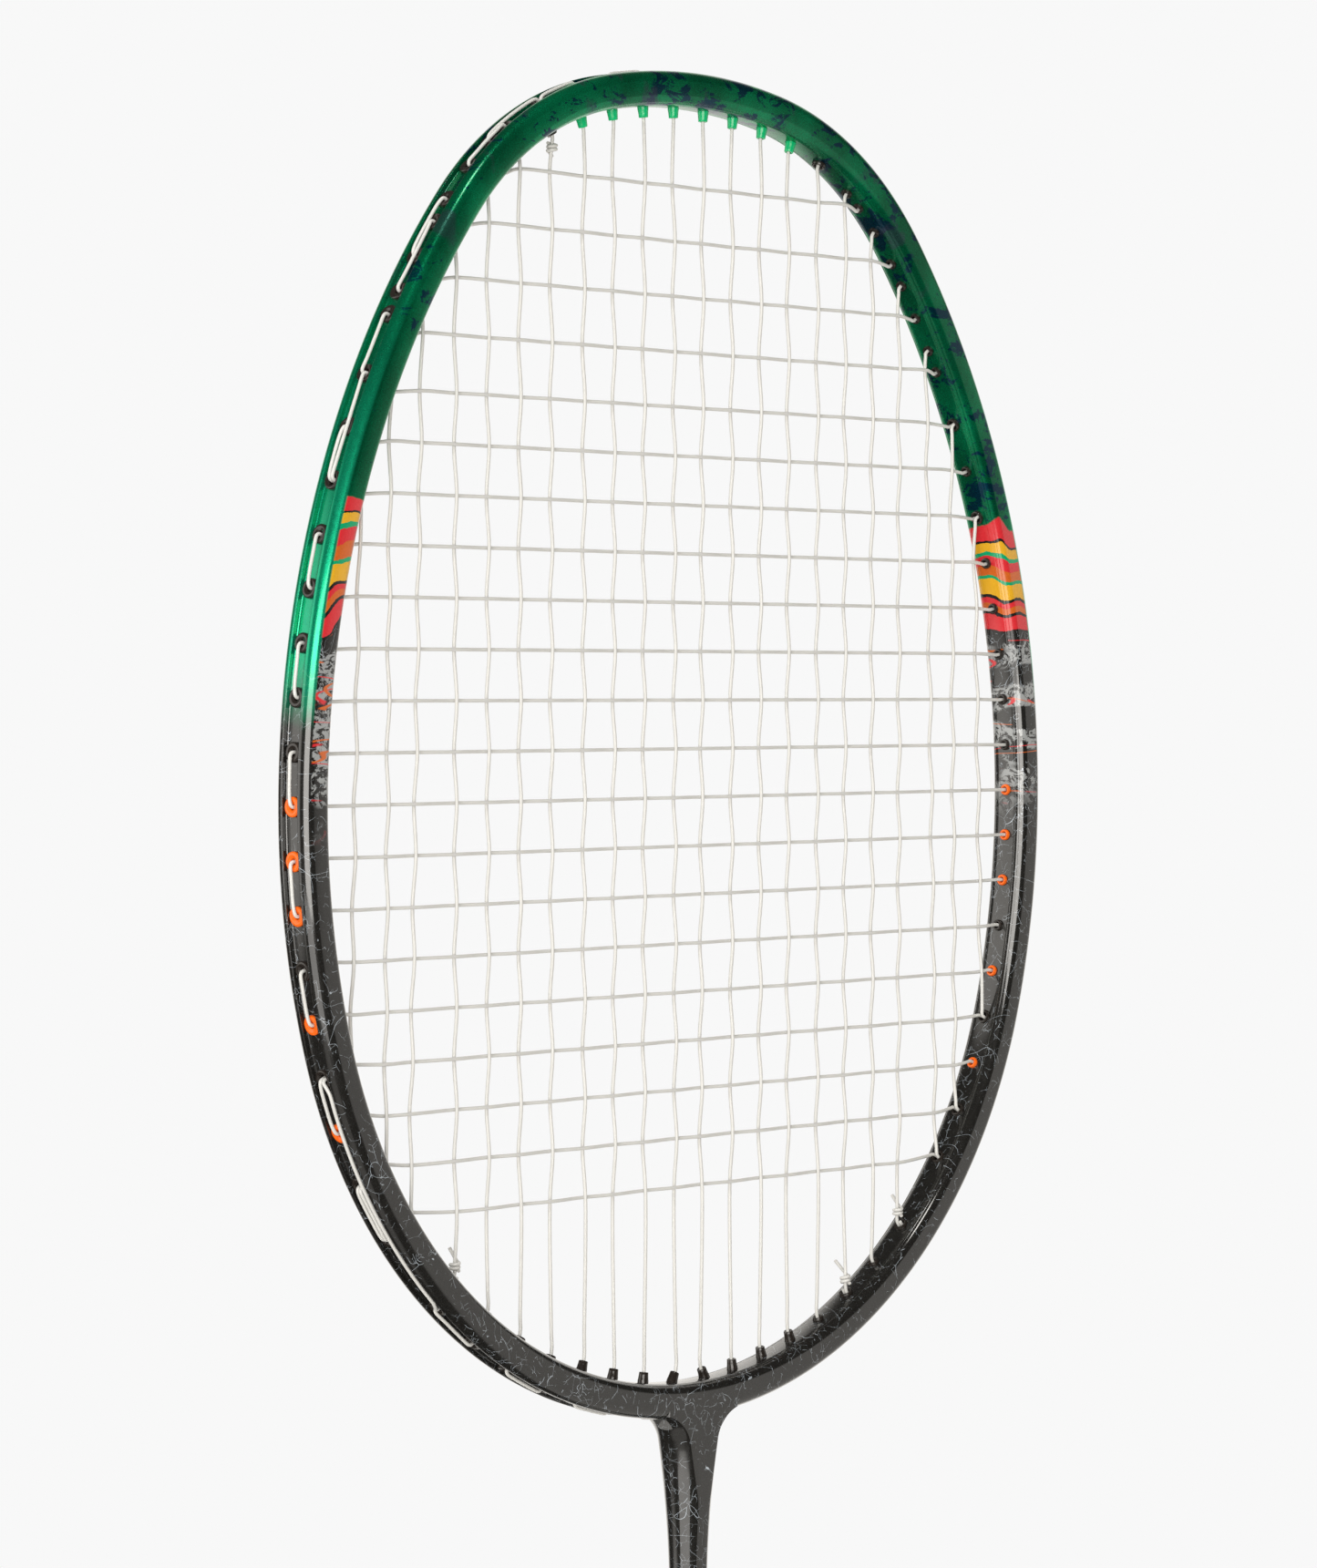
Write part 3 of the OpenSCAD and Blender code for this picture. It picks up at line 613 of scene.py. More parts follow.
def arc_points(centre, r, start, end, steps):
    angles = [start + (end - start) * i / steps for i in range(steps + 1)]
    return [(centre[0] + r * cosd(a), centre[1] + r * sind(a)) for a in angles]


def combine(target, other, operation):
    """Boolean of two closed meshes; the other one is used up."""
    modifier = target.modifiers.new(operation, "BOOLEAN")
    modifier.operation = operation
    modifier.solver = "MANIFOLD"
    modifier.object = other
    graph = bpy.context.evaluated_depsgraph_get()
    mesh = bpy.data.meshes.new_from_object(target.evaluated_get(graph))
    if not mesh.polygons:
        raise RuntimeError(f"{operation} of {target.name} left nothing")
    old = target.data
    target.modifiers.clear()
    target.data = mesh
    bpy.data.meshes.remove(old)
    bpy.data.objects.remove(other)


def cord_mesh(name, lines, radius, sides=10):
    """Round cords along lines of points, with turns round and metres along as UV."""
    points, faces, around = [], [], []
    for line in lines:
        start, last = len(points), len(line) - 1
        ways = [(line[min(i + 1, last)] - line[max(i - 1, 0)]).normalized() for i in range(last + 1)]
        side = ways[0].orthogonal().normalized()
        run = 0.0
        for i, p in enumerate(line):
            side = (side - ways[i] * side.dot(ways[i])).normalized()
            other = ways[i].cross(side)
            run += (p - line[i - 1]).length if i else 0.0
            for s in range(sides):
                a = math.tau * s / sides
                points.append(upright(p + side * (radius * math.cos(a)) + other * (radius * math.sin(a))))
                around.append((s / sides, run * MM))
        faces += ring_faces(len(line), sides, start=start)
    mesh = solid_mesh(name, points, faces)
    uv = mesh.uv_layers.new(name="UVMap")
    for face in mesh.polygons:
        us = [around[mesh.loops[i].vertex_index][0] for i in face.loop_indices]
        wraps = len(us) == 4 and max(us) - min(us) > 0.5
        for i in face.loop_indices:
            u, v = around[mesh.loops[i].vertex_index]
            uv.data[i].uv = (u + 1.0 if wraps and u < 0.5 else u, v)
    return mesh


# ---- Node materials


class Nodes:
    """A node tree built a node at a time. Sockets given as inputs are linked, other values are set."""

    def __init__(self, tree, output):
        self.tree = tree
        tree.nodes.clear()
        self.out = tree.nodes.new(output)

    def node(self, kind, inputs=None, **settings):
        """A new node. Inputs that are None keep their defaults."""
        made = self.tree.nodes.new(kind)
        for key, value in settings.items():
            setattr(made, key, value)
        for key, value in (inputs or {}).items():
            if isinstance(value, bpy.types.NodeSocket):
                self.tree.links.new(value, made.inputs[key])
            elif value is not None:
                made.inputs[key].default_value = value
        return made

    def end(self, shader):
        self.tree.links.new(shader.outputs[0], self.out.inputs[0])

    def math(self, operation, a, b=None, clamp=False):
        made = self.node("ShaderNodeMath", {0: a, 1: b}, operation=operation, use_clamp=clamp)
        return made.outputs[0]

    def plus(self, first, *more):
        for value in more:
            first = self.math("ADD", first, value)
        return first

    def times(self, first, *more):
        for value in more:
            first = self.math("MULTIPLY", first, value)
        return first

    def centred(self, value, reach):
        """A value round a half, turned into one round 0 that reaches so far in all."""
        return self.times(self.math("SUBTRACT", value, 0.5), reach)

    def between(self, value, low, high, smooth=True, top=1.0):
        """0 below low and the top value above high; low may be the greater one."""
        kind = "SMOOTHSTEP" if smooth else "LINEAR"
        inputs = {"Value": value, "From Min": low, "From Max": high, "To Max": top}
        return self.node("ShaderNodeMapRange", inputs, interpolation_type=kind).outputs[0]

    def spread(self, value, low, high):
        """A value from 0 to 1, brought to lie from low to high."""
        return self.node("ShaderNodeMapRange", {"Value": value, "To Min": low, "To Max": high}).outputs[0]


class Finish(Nodes):
    """The nodes of one material."""

    def __init__(self, name):
        self.material = bpy.data.materials.new(name)
        self.material.use_nodes = True
        super().__init__(self.material.node_tree, "ShaderNodeOutputMaterial")

    def place(self, scale=1000.0):
        """The surface's own place, in millimetres unless another scale is given."""
        coordinates = self.node("ShaderNodeTexCoord").outputs["Object"]
        return self.stretched(coordinates, (scale, scale, scale))

    def stretched(self, vector, scale, offset=(0, 0, 0)):
        inputs = {0: vector, "Scale": scale, "Location": offset}
        return self.node("ShaderNodeMapping", inputs).outputs[0]

    def moved(self, vector, offset):
        return self.stretched(vector, (1, 1, 1), offset)

    def noise(self, vector, scale, detail=2.0, roughness=0.5, distortion=0.0, output="Fac"):
        inputs = {"Vector": vector, "Scale": scale, "Detail": detail}
        inputs.update({"Roughness": roughness, "Distortion": distortion})
        return self.node("ShaderNodeTexNoise", inputs).outputs[output]

    def cells(self, vector, scale, feature):
        made = self.node("ShaderNodeTexVoronoi", {"Vector": vector, "Scale": scale}, feature=feature)
        return made.outputs["Distance"]

    def ridge(self, value, width):
        """1 on the thin line where value is a half, 0 away from it."""
        off = self.math("ABSOLUTE", self.math("SUBTRACT", value, 0.5))
        return self.between(off, width, width * 0.35)

    def axes(self, vector):
        return self.node("ShaderNodeSeparateXYZ", {0: vector}).outputs

    def reach(self, vector):
        return self.node("ShaderNodeVectorMath", {0: vector}, operation="LENGTH").outputs["Value"]

    @staticmethod
    def opaque(shade):
        """A colour with its alpha; a socket stays as it is."""
        return shade if isinstance(shade, bpy.types.NodeSocket) else (*tuple(shade)[:3], 1.0)

    def mix(self, share, a, b, blend="MIX"):
        inputs = {0: share, 6: self.opaque(a), 7: self.opaque(b)}
        return self.node("ShaderNodeMix", inputs, data_type="RGBA", blend_type=blend).outputs[2]

    def ramp(self, value, stops, interpolation="LINEAR"):
        """A colour for a value from 0 to 1, with stops of (value, colour)."""
        made = self.node("ShaderNodeValToRGB", {0: value})
        made.color_ramp.interpolation = interpolation
        elements = made.color_ramp.elements
        while len(elements) < len(stops):
            elements.new(1.0)
        for element, (at, shade) in zip(elements, stops):
            element.position = at
            element.color = self.opaque(shade)
        return made.outputs[0]

    def bump(self, height, distance, strength=1.0, normal=None):
        inputs = {"Height": height, "Distance": distance, "Strength": strength, "Normal": normal}
        return self.node("ShaderNodeBump", inputs).outputs[0]

    def surface(self, **inputs):
        """The finished material. The shader's inputs are named like coat_weight for Coat Weight."""
        names = {key: key.replace("_", " ").title() for key in inputs}
        names.update(coat_ior="Coat IOR", specular="Specular IOR Level")
        self.end(self.node("ShaderNodeBsdfPrincipled", {names[key]: inputs[key] for key in inputs}))
        return self.material


def toned(shade, factor):
    """A darker or lighter tone of a colour."""
    return [min(c * factor, 1.0) for c in shade]


# cells per millimetre, sway in millimetres, half width of the line, offset
HAIR_LAYERS = (
    (0.11, 6.5, 0.022, 3.1),
    (0.22, 4.0, 0.02, 17.3),
    (0.42, 2.4, 0.016, 41.7),
)


def hair_lines(f, place, density):
    """Fine curved hair lines at three scales, broken into short lengths: a share from 0 to 1."""
    share = None
    for scale, sway, half_width, offset in HAIR_LAYERS:
        moved = f.moved(place, (offset, offset * 0.7, offset * 1.9))
        drift = f.noise(moved, scale * 1.1, 0.5, output="Color")
        inputs = {0: drift, 1: (sway, sway, sway), 2: moved}
        bent = f.node("ShaderNodeVectorMath", inputs, operation="MULTIPLY_ADD").outputs[0]
        edge = f.cells(bent, scale, "DISTANCE_TO_EDGE")
        line = f.between(edge, half_width * scale * 1.5, half_width * scale * 0.5)
        line = f.times(line, f.between(f.plus(f.noise(moved, scale * 1.6, 1.0), density), 0.52, 0.56))
        share = line if share is None else f.math("MAXIMUM", share, line)
    return share


def black_lacquer(f, place, colours):
    """Black lacquer with scattered hair lines: its colour."""
    base = f.mix(f.noise(place, 0.35, 5.0, 0.65), toned(colours.black, 0.6), toned(colours.black, 1.7))
    grain = f.between(f.noise(place, 2.6, 3.0, 0.7), 0.55, 0.75)
    base = f.mix(f.times(grain, 0.03), base, colours.hair)
    lines = hair_lines(f, place, f.centred(f.noise(place, 0.09, 2.0), 0.45))
    faint = f.math("MULTIPLY", f.noise(place, 0.6, 1.0), 1.3, clamp=True)
    return f.mix(f.times(lines, faint), base, colours.hair)


def brushed_green(f, place, colours):
    """Two greens along the tube, with flakes, brushed blue patches and soft violet ones high up."""
    x, _, height = f.axes(place)[:3]
    along = f.noise(f.stretched(place, (0.6, 1.0, 0.35)), 0.12, 3.0)
    green = f.mix(f.between(along, 0.35, 0.65), colours.green, colours.bright_green)
    flakes = f.ramp(f.noise(place, 7.0, 1.0), ((0.3, (0, 0, 0)), (0.75, (1, 1, 1))))
    green = f.mix(0.45, green, flakes, "SOFT_LIGHT")
    brushed = f.noise(f.stretched(place, (1.0, 1.3, 1.6), (11, 4, 7)), 0.16, 7.0, 0.72, 0.5)
    gathered = f.centred(f.noise(f.moved(place, (2, 6, 90)), 0.035, 1.0), 0.5)
    patch = f.between(f.plus(brushed, gathered, f.times(x, 0.0003)), 0.57, 0.59)
    green = f.mix(f.times(patch, 0.9), green, colours.blue)
    soft = f.between(f.noise(f.stretched(place, (1.2, 1, 1), (50, 9, 31)), 0.13, 3.0), 0.56, 0.66)
    high = f.between(height, 620.0, 650.0)
    return f.mix(f.times(soft, high, 0.55), green, colours.violet)


def splashed_black(f, place, height, plain, colours):
    """The black with grey splashes and thin warm strokes, close under the bands."""
    cluster = f.between(f.noise(f.stretched(place, (0.5, 0.5, 1.2), (5, 80, 3)), 0.13, 2.0), 0.485, 0.53)
    ragged = f.noise(f.stretched(place, (0.8, 0.8, 1.1), (7, 7, 7)), 0.42, 6.0, 0.7, 1.6)
    zone = f.times(f.between(height, 532.0, 545.0), f.between(height, 576.0, 572.0))
    black = f.mix(f.times(cluster, f.between(ragged, 0.495, 0.507), zone), plain, colours.splash)
    for offset, shade in ((23.0, colours.red), (61.0, colours.orange)):
        line = f.noise(f.stretched(place, (0.3, 0.3, 1.4), (offset, 3, offset)), 0.16, 1.0)
        broken = f.noise(f.stretched(place, (0.6, 0.6, 1.6), (3, offset, 1)), 0.13, 1.0)
        stroke = f.times(f.ridge(line, 0.016), f.between(broken, 0.53, 0.56), zone)
        black = f.mix(stroke, black, shade)
    return black


# heights of the wavy bands between the black and the green, and where each band starts within them
BANDS_LOW, BANDS_HIGH = 571.0, 591.5
BAND_EDGES = (0.0, 0.03, 0.17, 0.2, 0.26, 0.31, 0.34, 0.49, 0.52, 0.62, 0.71, 0.75, 0.83, 0.85)
EDGE_BLUR = 0.4  # over which one paint gives way to the next
RIM_LOW, RIM_HIGH = 552.0, 566.0  # heights over which the outer rim turns from black to green
GROOVE_LIP = 4.8  # out from the inner wall, where the outer rim's paint begins


def frame_lacquer(colours, head):
    """Black below and green above, with warm bands between on the faces and a soft fade on the rim, whose
    lighter green lower down is a painted highlight.
    """
    f = Finish("frame_lacquer")
    place = f.place()
    x, _, height = f.axes(place)[:3]
    green = brushed_green(f, place, colours)
    plain = black_lacquer(f, place, colours)

    slow = f.noise(f.stretched(place, (0.9, 0.9, 0.4), (31, 3, 12)), 0.085, 1.0, 0.4, 0.3)
    jagged = f.centred(f.noise(place, 0.5, 5.0, 0.65), 0.9)
    level = f.plus(height, f.centred(slow, 17.0), jagged)
    k, r, o, y = colours.black, colours.red, colours.orange, colours.yellow
    g = colours.bright_green
    shades = zip(BAND_EDGES, (k, r, k, o, r, k, y, g, o, r, g, y, k, r))
    bands = f.ramp(f.between(level, BANDS_LOW, BANDS_HIGH, smooth=False), tuple(shades), "CONSTANT")
    face_green = f.between(level, BANDS_HIGH - EDGE_BLUR, BANDS_HIGH)
    not_black = f.between(level, BANDS_LOW, BANDS_LOW + EDGE_BLUR)
    black = splashed_black(f, place, height, plain, colours)
    face = f.mix(not_black, black, f.mix(face_green, bands, green))

    faded = f.plus(height, f.centred(f.noise(place, 0.14, 4.0, 0.6), 8.0))
    rim_green = f.between(faded, RIM_LOW, RIM_HIGH)
    # painted highlight: below 640 mm the outer rim's green turns towards the lighter rim green, most
    # strongly near the black
    painted_highlight_green = f.mix(f.times(f.between(height, 640.0, 590.0), 0.75), green, colours.rim_green)
    rim = f.mix(rim_green, plain, painted_highlight_green)
    across = f.plus(f.math("ABSOLUTE", x), -head.side_c.x)
    radial = {0: across, 1: 0.0, 2: f.math("SUBTRACT", height, head.side_c.y)}
    reach = f.reach(f.node("ShaderNodeCombineXYZ", radial).outputs[0])
    outer = f.between(reach, head.side_r + GROOVE_LIP, head.side_r + GROOVE_LIP + EDGE_BLUR)

    painted = f.math("MAXIMUM", face_green, f.times(rim_green, outer))
    return f.surface(
        base_color=f.mix(outer, face, rim),
        roughness=f.spread(f.noise(place, 0.9, 3.0), 0.2, 0.34),
        metallic=f.times(painted, 0.8),
        specular=0.2,
        coat_weight=f.spread(painted, 1.0, 0.3),
        coat_roughness=0.085,
        coat_ior=1.75,
        coat_normal=f.bump(f.noise(place, 0.09, 1.0), 0.00012, 0.5),
    )


def shaft_lacquer(colours):
    """The black of the head's lower half, on the shaft."""
    f = Finish("shaft_lacquer")
    place = f.place()
    return f.surface(
        base_color=black_lacquer(f, place, colours),
        roughness=f.spread(f.noise(place, 0.9, 3.0), 0.2, 0.34),
        specular=0.2,
        coat_weight=1.0,
        coat_roughness=0.085,
        coat_ior=1.75,
    )


def moulded_plastic(name, tint, roughness=0.3, coat=0.3, grain=2.0, depth=0.00001):
    """Moulded plastic with a faint grain and small changes of shade."""
    f = Finish(name)
    place = f.place()
    return f.surface(
        base_color=f.mix(f.noise(place, 0.7, 4.0), toned(tint, 0.78), toned(tint, 1.2)),
        roughness=f.spread(f.noise(place, grain, 3.0), roughness * 0.75, roughness * 1.3),
        normal=f.bump(f.noise(place, grain * 2, 2.0), depth, 0.6),
        coat_weight=coat,
        coat_roughness=0.1,
    )


def braided_string(colours):
    """Nylon string with a braid of strands that cross both ways round."""
    f = Finish("braided_string")
    uv = f.node("ShaderNodeTexCoord").outputs["UV"]
    strands = []
    for way in (1, -1):
        u, v = f.axes(f.stretched(uv, (6.0, way * 1400.0, 1.0)))[:2]
        strands.append(f.math("ABSOLUTE", f.math("SINE", f.times(f.plus(u, v), math.pi))))
    weave = f.times(*strands)
    base = f.mix(f.noise(f.place(), 0.5, 3.0), toned(colours.string, 0.93), colours.string)
    return f.surface(
        base_color=f.mix(f.times(weave, 0.12), base, toned(colours.string, 0.8)),
        roughness=0.38,
        normal=f.bump(weave, 0.00002, 0.5),
        coat_weight=0.35,
        coat_roughness=0.15,
    )


def wrap_rubber(colours):
    """Tacky rubber with a pebbled grain, rubbed smoother in places."""
    f = Finish("wrap_rubber")
    place = f.place()
    rubbed = f.between(f.noise(place, 0.05, 3.0), 0.45, 0.7)
    grain = f.bump(f.noise(place, 3.5, 3.0), 0.00004, 0.5)
    return f.surface(
        base_color=f.mix(f.noise(place, 0.12, 4.0), toned(colours.grip, 0.8), toned(colours.grip, 1.6)),
        roughness=f.spread(rubbed, 0.48, 0.66),
        normal=f.bump(f.cells(place, 1.35, "SMOOTH_F1"), 0.00016, 0.7, grain),
        sheen_weight=0.15,
    )


def vinyl_tape():
    """Black tape with faint streaks along it and small wrinkles."""
    f = Finish("vinyl_tape")
    place = f.place()
    streak = f.noise(f.stretched(place, (0.3, 0.3, 4.0)), 0.8, 4.0)
    return f.surface(
        base_color=f.mix(streak, (0.012, 0.012, 0.013), (0.03, 0.03, 0.032)),
        roughness=0.34,
        normal=f.bump(f.noise(place, 0.6, 5.0), 0.00008, 0.5),
    )


def bare_wood(colours):
    """Pale wood with its grain along the handle."""
    f = Finish("bare_wood")
    place = f.place()
    inputs = {"Vector": f.stretched(place, (1.0, 1.0, 0.05)), "Scale": 0.22}
    inputs.update({"Distortion": 3.0, "Detail": 3.0})
    wave = f.node("ShaderNodeTexWave", inputs, wave_type="RINGS", rings_direction="Z")
    pores = f.noise(f.stretched(place, (2.0, 2.0, 0.12)), 1.4, 3.0)
    base = f.mix(wave.outputs["Fac"], colours.wood, toned(colours.wood, 0.72))
    base = f.mix(f.times(pores, 0.3), base, toned(colours.wood, 0.55))
    return f.surface(base_color=base, roughness=0.6, normal=f.bump(pores, 0.00005, 0.4))


def brushed_pin():
    """Steel brushed along the pin."""
    f = Finish("brushed_pin")
    lines = f.noise(f.stretched(f.place(), (6.0, 0.3, 6.0)), 2.0, 3.0)
    base = f.mix(lines, (0.5, 0.5, 0.52), (0.68, 0.68, 0.7))
    return f.surface(base_color=base, metallic=1.0, roughness=0.32, normal=f.bump(lines, 0.00002, 0.4))


def floor_paper():
    """Pale paper that fades out towards its edge."""
    f = Finish("floor_paper")
    place = f.place(1.0)
    base = f.mix(f.noise(place, 30.0, 3.0), (0.86, 0.86, 0.86), (0.89, 0.89, 0.89))
    paper = f.node("ShaderNodeBsdfPrincipled", {"Base Color": base, "Roughness": 0.9})
    clear = f.node("ShaderNodeBsdfTransparent")
    inputs = {0: f.between(f.reach(place), 0.55, 1.15), 1: paper.outputs[0], 2: clear.outputs[0]}
    f.end(f.node("ShaderNodeMixShader", inputs))
    return f.material


def coat(item, material):
    item.data.materials.clear()
    item.data.materials.append(material)


def settle(item, slot, *nodes):
    """The piece rides on the racket's one body and hides the CAD nodes that it stands for; its slot is
    not used.
    """
    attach(item, "root")
    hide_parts(*nodes)


def finish_piece(item, sharp, material, slot, node):
    """Turns millimetres into metres, shades the mesh smooth up to an angle, coats and settles it."""
    item.data.transform(Matrix.Scale(MM, 4))
    item.data.shade_smooth()
    item.data.set_sharp_from_angle(angle=math.radians(sharp))
    coat(item, material)
    settle(item, slot, node)


# ---- Head frame

CROWN, CROWN_HALF = 0.12, 2.15  # the inner wall's bulge, and half its width
FACE_LEAN = 27.0  # degrees
FACE_CORNER_R = 1.7
RIM_CORNER_R = 2.05
LIP_R = 0.12
COVE_R = 0.45
FLARE_R = 218.0  # of the neck's side
FILLET_R = 6.5  # between the neck's side and the hoop
FILLET_TOP, NECK_TOP = 1.2, 2.6  # above the heel's outside
STRIP_LOW, STRIP_GROWTH, STRIP_FADE = 0.25, 1.2, 6.0  # half width at the shaft, growth and its height
DRILL_GAP = 0.05
CUT_START, CUT_END = 3.6, 9.0  # degrees from the heel's middle, where the groove is cut again


def section_half(head):
    """Front half of the frame's section, from the inner wall's middle round to the groove's middle."""
    half, depth, seat, edge = head.half, head.depth, head.seat, head.groove_half
    heights = (0.0, 0.5, 1.0, 1.5, 1.9, CROWN_HALF)
    points = [(-CROWN * (1 - (t / CROWN_HALF) ** 2), t) for t in heights]
    points += [(0.06, 2.24), (0.015, 2.34), (0.1, 2.6), (0.24, 2.94), (0.34, 3.02), (0.3, 3.12)]
    centre = (0.32 + FACE_CORNER_R * cosd(26), half - FACE_CORNER_R)
    points += arc_points(centre, FACE_CORNER_R, 180 - FACE_LEAN, 90, 9)
    points += arc_points((depth - RIM_CORNER_R, half - RIM_CORNER_R), RIM_CORNER_R, 90, 4, 14)
    points += arc_points((depth - LIP_R, edge + LIP_R), LIP_R, 0, -90, 3)
    points += arc_points((seat + COVE_R, edge - COVE_R), COVE_R, 90, 180, 5)
    return points + [(seat, 0.0)]


def sweep_rings(head, section, angles):
    """The section of (out, z) at each direction on the head."""
    rings = []
    for a in angles:
        base = head.curve_at(a)
        way = head.curve_at(a, 1.0) - base
        rings.append([upright((base.x + way.x * o, base.y + way.y * o, z)) for o, z in section])
    return rings


def hoop_angles(head, step=1.35):
    """Directions all round the hoop, evenly spaced within each arc."""
    right = [-90.0]
    for _, r, low, high in reversed(head.arcs):
        count = max(2, round(math.radians(high - low) * (r + head.depth / 2) / step))
        right += [low + (high - low) * i / count for i in range(1, count + 1)]
    left = [180 - a for a in reversed(right)][1:-1]
    return right + left


def neck_outline(head, neck_y, shaft_r):
    """Half width and height of the neck, from the shaft up along its flare and fillet."""
    fillet_y = head.heel_y + FILLET_TOP - FILLET_R
    flare_x = shaft_r + FLARE_R
    fillet_x = flare_x - math.sqrt((FLARE_R - FILLET_R) ** 2 - (fillet_y - neck_y) ** 2)
    turn = math.degrees(math.atan2(fillet_y - neck_y, fillet_x - flare_x))
    outline = arc_points((flare_x, neck_y), FLARE_R, 180, turn, 16)
    outline += arc_points((fillet_x, fillet_y), FILLET_R, turn, 106, 14)[1:]
    return outline + [(outline[-1][0], head.heel_y + NECK_TOP)]


def neck_rings(head, sizes, shaft_r):
    """The neck as a horn, round at the sides, with a flat strip in front and behind."""
    neck_y = head.heel_y - sizes.neck / MM
    thick = head.half - 0.006  # so that its flats don't coincide with the hoop's
    rings = []
    for w, y in neck_outline(head, neck_y, shaft_r):
        fade = min(1.0, (y - neck_y) / STRIP_FADE)
        strip = STRIP_LOW + STRIP_GROWTH * fade * fade * (3 - 2 * fade)
        flat = max(strip, math.sqrt(max(w * w - thick * thick, 0.0)))
        h = math.sqrt(w * w - flat * flat)
        start = math.degrees(math.atan2(h, flat))
        soft = min(0.22, flat * 0.4)
        quarter = [(0.0, h), ((flat - soft) * 0.5, h), (flat - soft, h)]
        quarter += [(flat - soft * 0.25, h - soft * 0.1)]
        quarter += arc_points((0, 0), w, start - math.degrees(soft * 0.6 / w), 0, 12)
        front = quarter + [(p, -q) for p, q in reversed(quarter[:-1])]
        ring = front + [(-p, q) for p, q in reversed(front[1:-1])]
        rings.append([upright((p, y, q)) for p, q in ring])
    return rings


def groove_cutter(head, side):
    """Opens the groove again through the root of the neck, on one side."""
    gap = 0.01
    seat, edge, cove = head.seat + gap, head.groove_half - gap, COVE_R - gap
    outside = head.depth + 6.5
    section = [(outside, -edge)]
    section += arc_points((seat + cove, cove - edge), cove, 270, 180, 5)
    section += arc_points((seat + cove, edge - cove), cove, 180, 90, 5)
    section.append((outside, edge))
    angles = [-90 + CUT_START + (CUT_END - CUT_START) * i / 8 for i in range(9)]
    if side < 0:
        angles = [180 - a for a in angles]
    return loft("groove_cutter", sweep_rings(head, section, angles))


def hole_frame(head, hole):
    """Matrix that puts +Z outward along a hole, from the inner wall."""
    p = head.curve_at(hole.direction)
    way = head.slant_way(hole)
    z = upright((way.x, way.y, 0))
    x = upright((0, 0, 1))
    turn = Matrix((x, z.cross(x), z)).transposed().to_4x4()
    return Matrix.Translation(upright((p.x, p.y, 0))) @ turn


def along_holes(name, head, holes, profile_of, sides, closed):
    """One mesh of a solid turned round the axis of each hole."""
    points, faces = [], []
    for hole in holes:
        profile = profile_of(head, hole)
        place = hole_frame(head, hole)
        start = len(points)
        for ring in lathe_rings(profile, sides):
            points += [place @ p for p in ring]
        faces += ring_faces(len(profile), sides, closed, start)
    return new_object(solid_mesh(name, points, faces))


def drill_profile(head, hole):
    r = (WIDE_BORE_R if hole.wide else BORE_R) + GROMMET_WALL + DRILL_GAP
    return [(r, -2.0), (r, head.depth + 3.0)]


def build_head_frame(scene):
    head = Head(scene.racket_head, scene.racket_strings)
    half = section_half(head)
    section = half + [(o, -z) for o, z in reversed(half[1:-1])]
    rings = sweep_rings(head, section, hoop_angles(head))
    item = new_object(loft("head_hoop_and_neck", rings, closed=True))
    neck = neck_rings(head, scene.racket_head, scene.racket_handle.shaft_diameter / MM / 2)
    combine(item, new_object(loft("neck", neck)), "UNION")
    for side in (-1, 1):
        combine(item, new_object(groove_cutter(head, side)), "DIFFERENCE")
    drills = along_holes("hole_drills", head, head.all_holes(), drill_profile, 28, False)
    combine(item, drills, "DIFFERENCE")
    lacquer = frame_lacquer(scene.racket_colours, head)
    finish_piece(item, 32.0, lacquer, "frame_paint", "head_frame")


# ---- Grommets

TIP_MAINS = range(8, 16)
THROAT_MAINS = (11, 12)
# the right half's holes of each kind, whose mirror images are the left half's:
# mains at the tip, mains at the heel, crosses
GROMMET_KINDS = {
    "shoulder": ((17, 18, 19, 20), (), (1, 2, 3, 4, 6)),
    "side": ((), (), (8, 9, 10, 11, 12, 16)),
    "accent": ((), (), (13, 14, 15, 17, 19)),
    "shared": ((), (), (5, 7, 18, 20, 21)),
    "tie": (TIE_TOP, TIE_LOW, ()),
    "heel": ((), (13, 14, 15, 16, 18), ()),
}


def grommet_profile(head, hole):
    """Closed outline of (radius, height) of one grommet: tapered tube, rounded flange, dished mouth."""
    bore = WIDE_BORE_R if hole.wide else BORE_R
    rim = WIDE_FLANGE_R if hole.wide else FLANGE_R
    wall, tube, seat = bore + GROMMET_WALL, hole.tube, head.seat / cosd(hole.slant)
    if tube > SHORT_TUBE:
        tip = bore + 0.33
        nose = [(bore - 0.08, -tube + 0.16), (bore + 0.02, -tube + 0.02), (bore + 0.1, -tube)]
        nose += [(tip - 0.07, -tube + 0.01), (tip, -tube + 0.09), (tip + 0.03, -tube + 0.6)]
        nose += [(wall - 0.06, -0.75), (wall - 0.01, -0.55), (wall - 0.01, 0.4)]
    else:
        nose = [(bore, -tube + 0.42), (bore + 0.03, -tube + 0.18), (bore + 0.12, -tube + 0.04)]
        nose += [(bore + 0.24, -tube), (wall - 0.04, -tube + 0.08), (wall + 0.05, -tube + 0.3)]
        nose += [(wall + 0.08, -0.25), (wall + 0.02, -0.1), (wall - 0.01, 0.0), (wall - 0.01, 0.4)]
    top = seat + FLANGE_HEIGHT + 0.03
    middle = (rim + bore) / 2
    flange = [(wall - 0.01, seat), (rim - 0.06, seat), (rim, seat + 0.1), (rim, top - 0.29)]
    flange += [(rim - 0.05, top - 0.15), (rim - 0.17, top - 0.05), (rim - 0.32, top)]
    flange += [(middle, top), (middle - 0.16, top - 0.05), (bore + 0.1, top - 0.23)]
    flange += [(bore + 0.02, top - 0.48), (bore, seat - 0.3)]
    return nose + flange


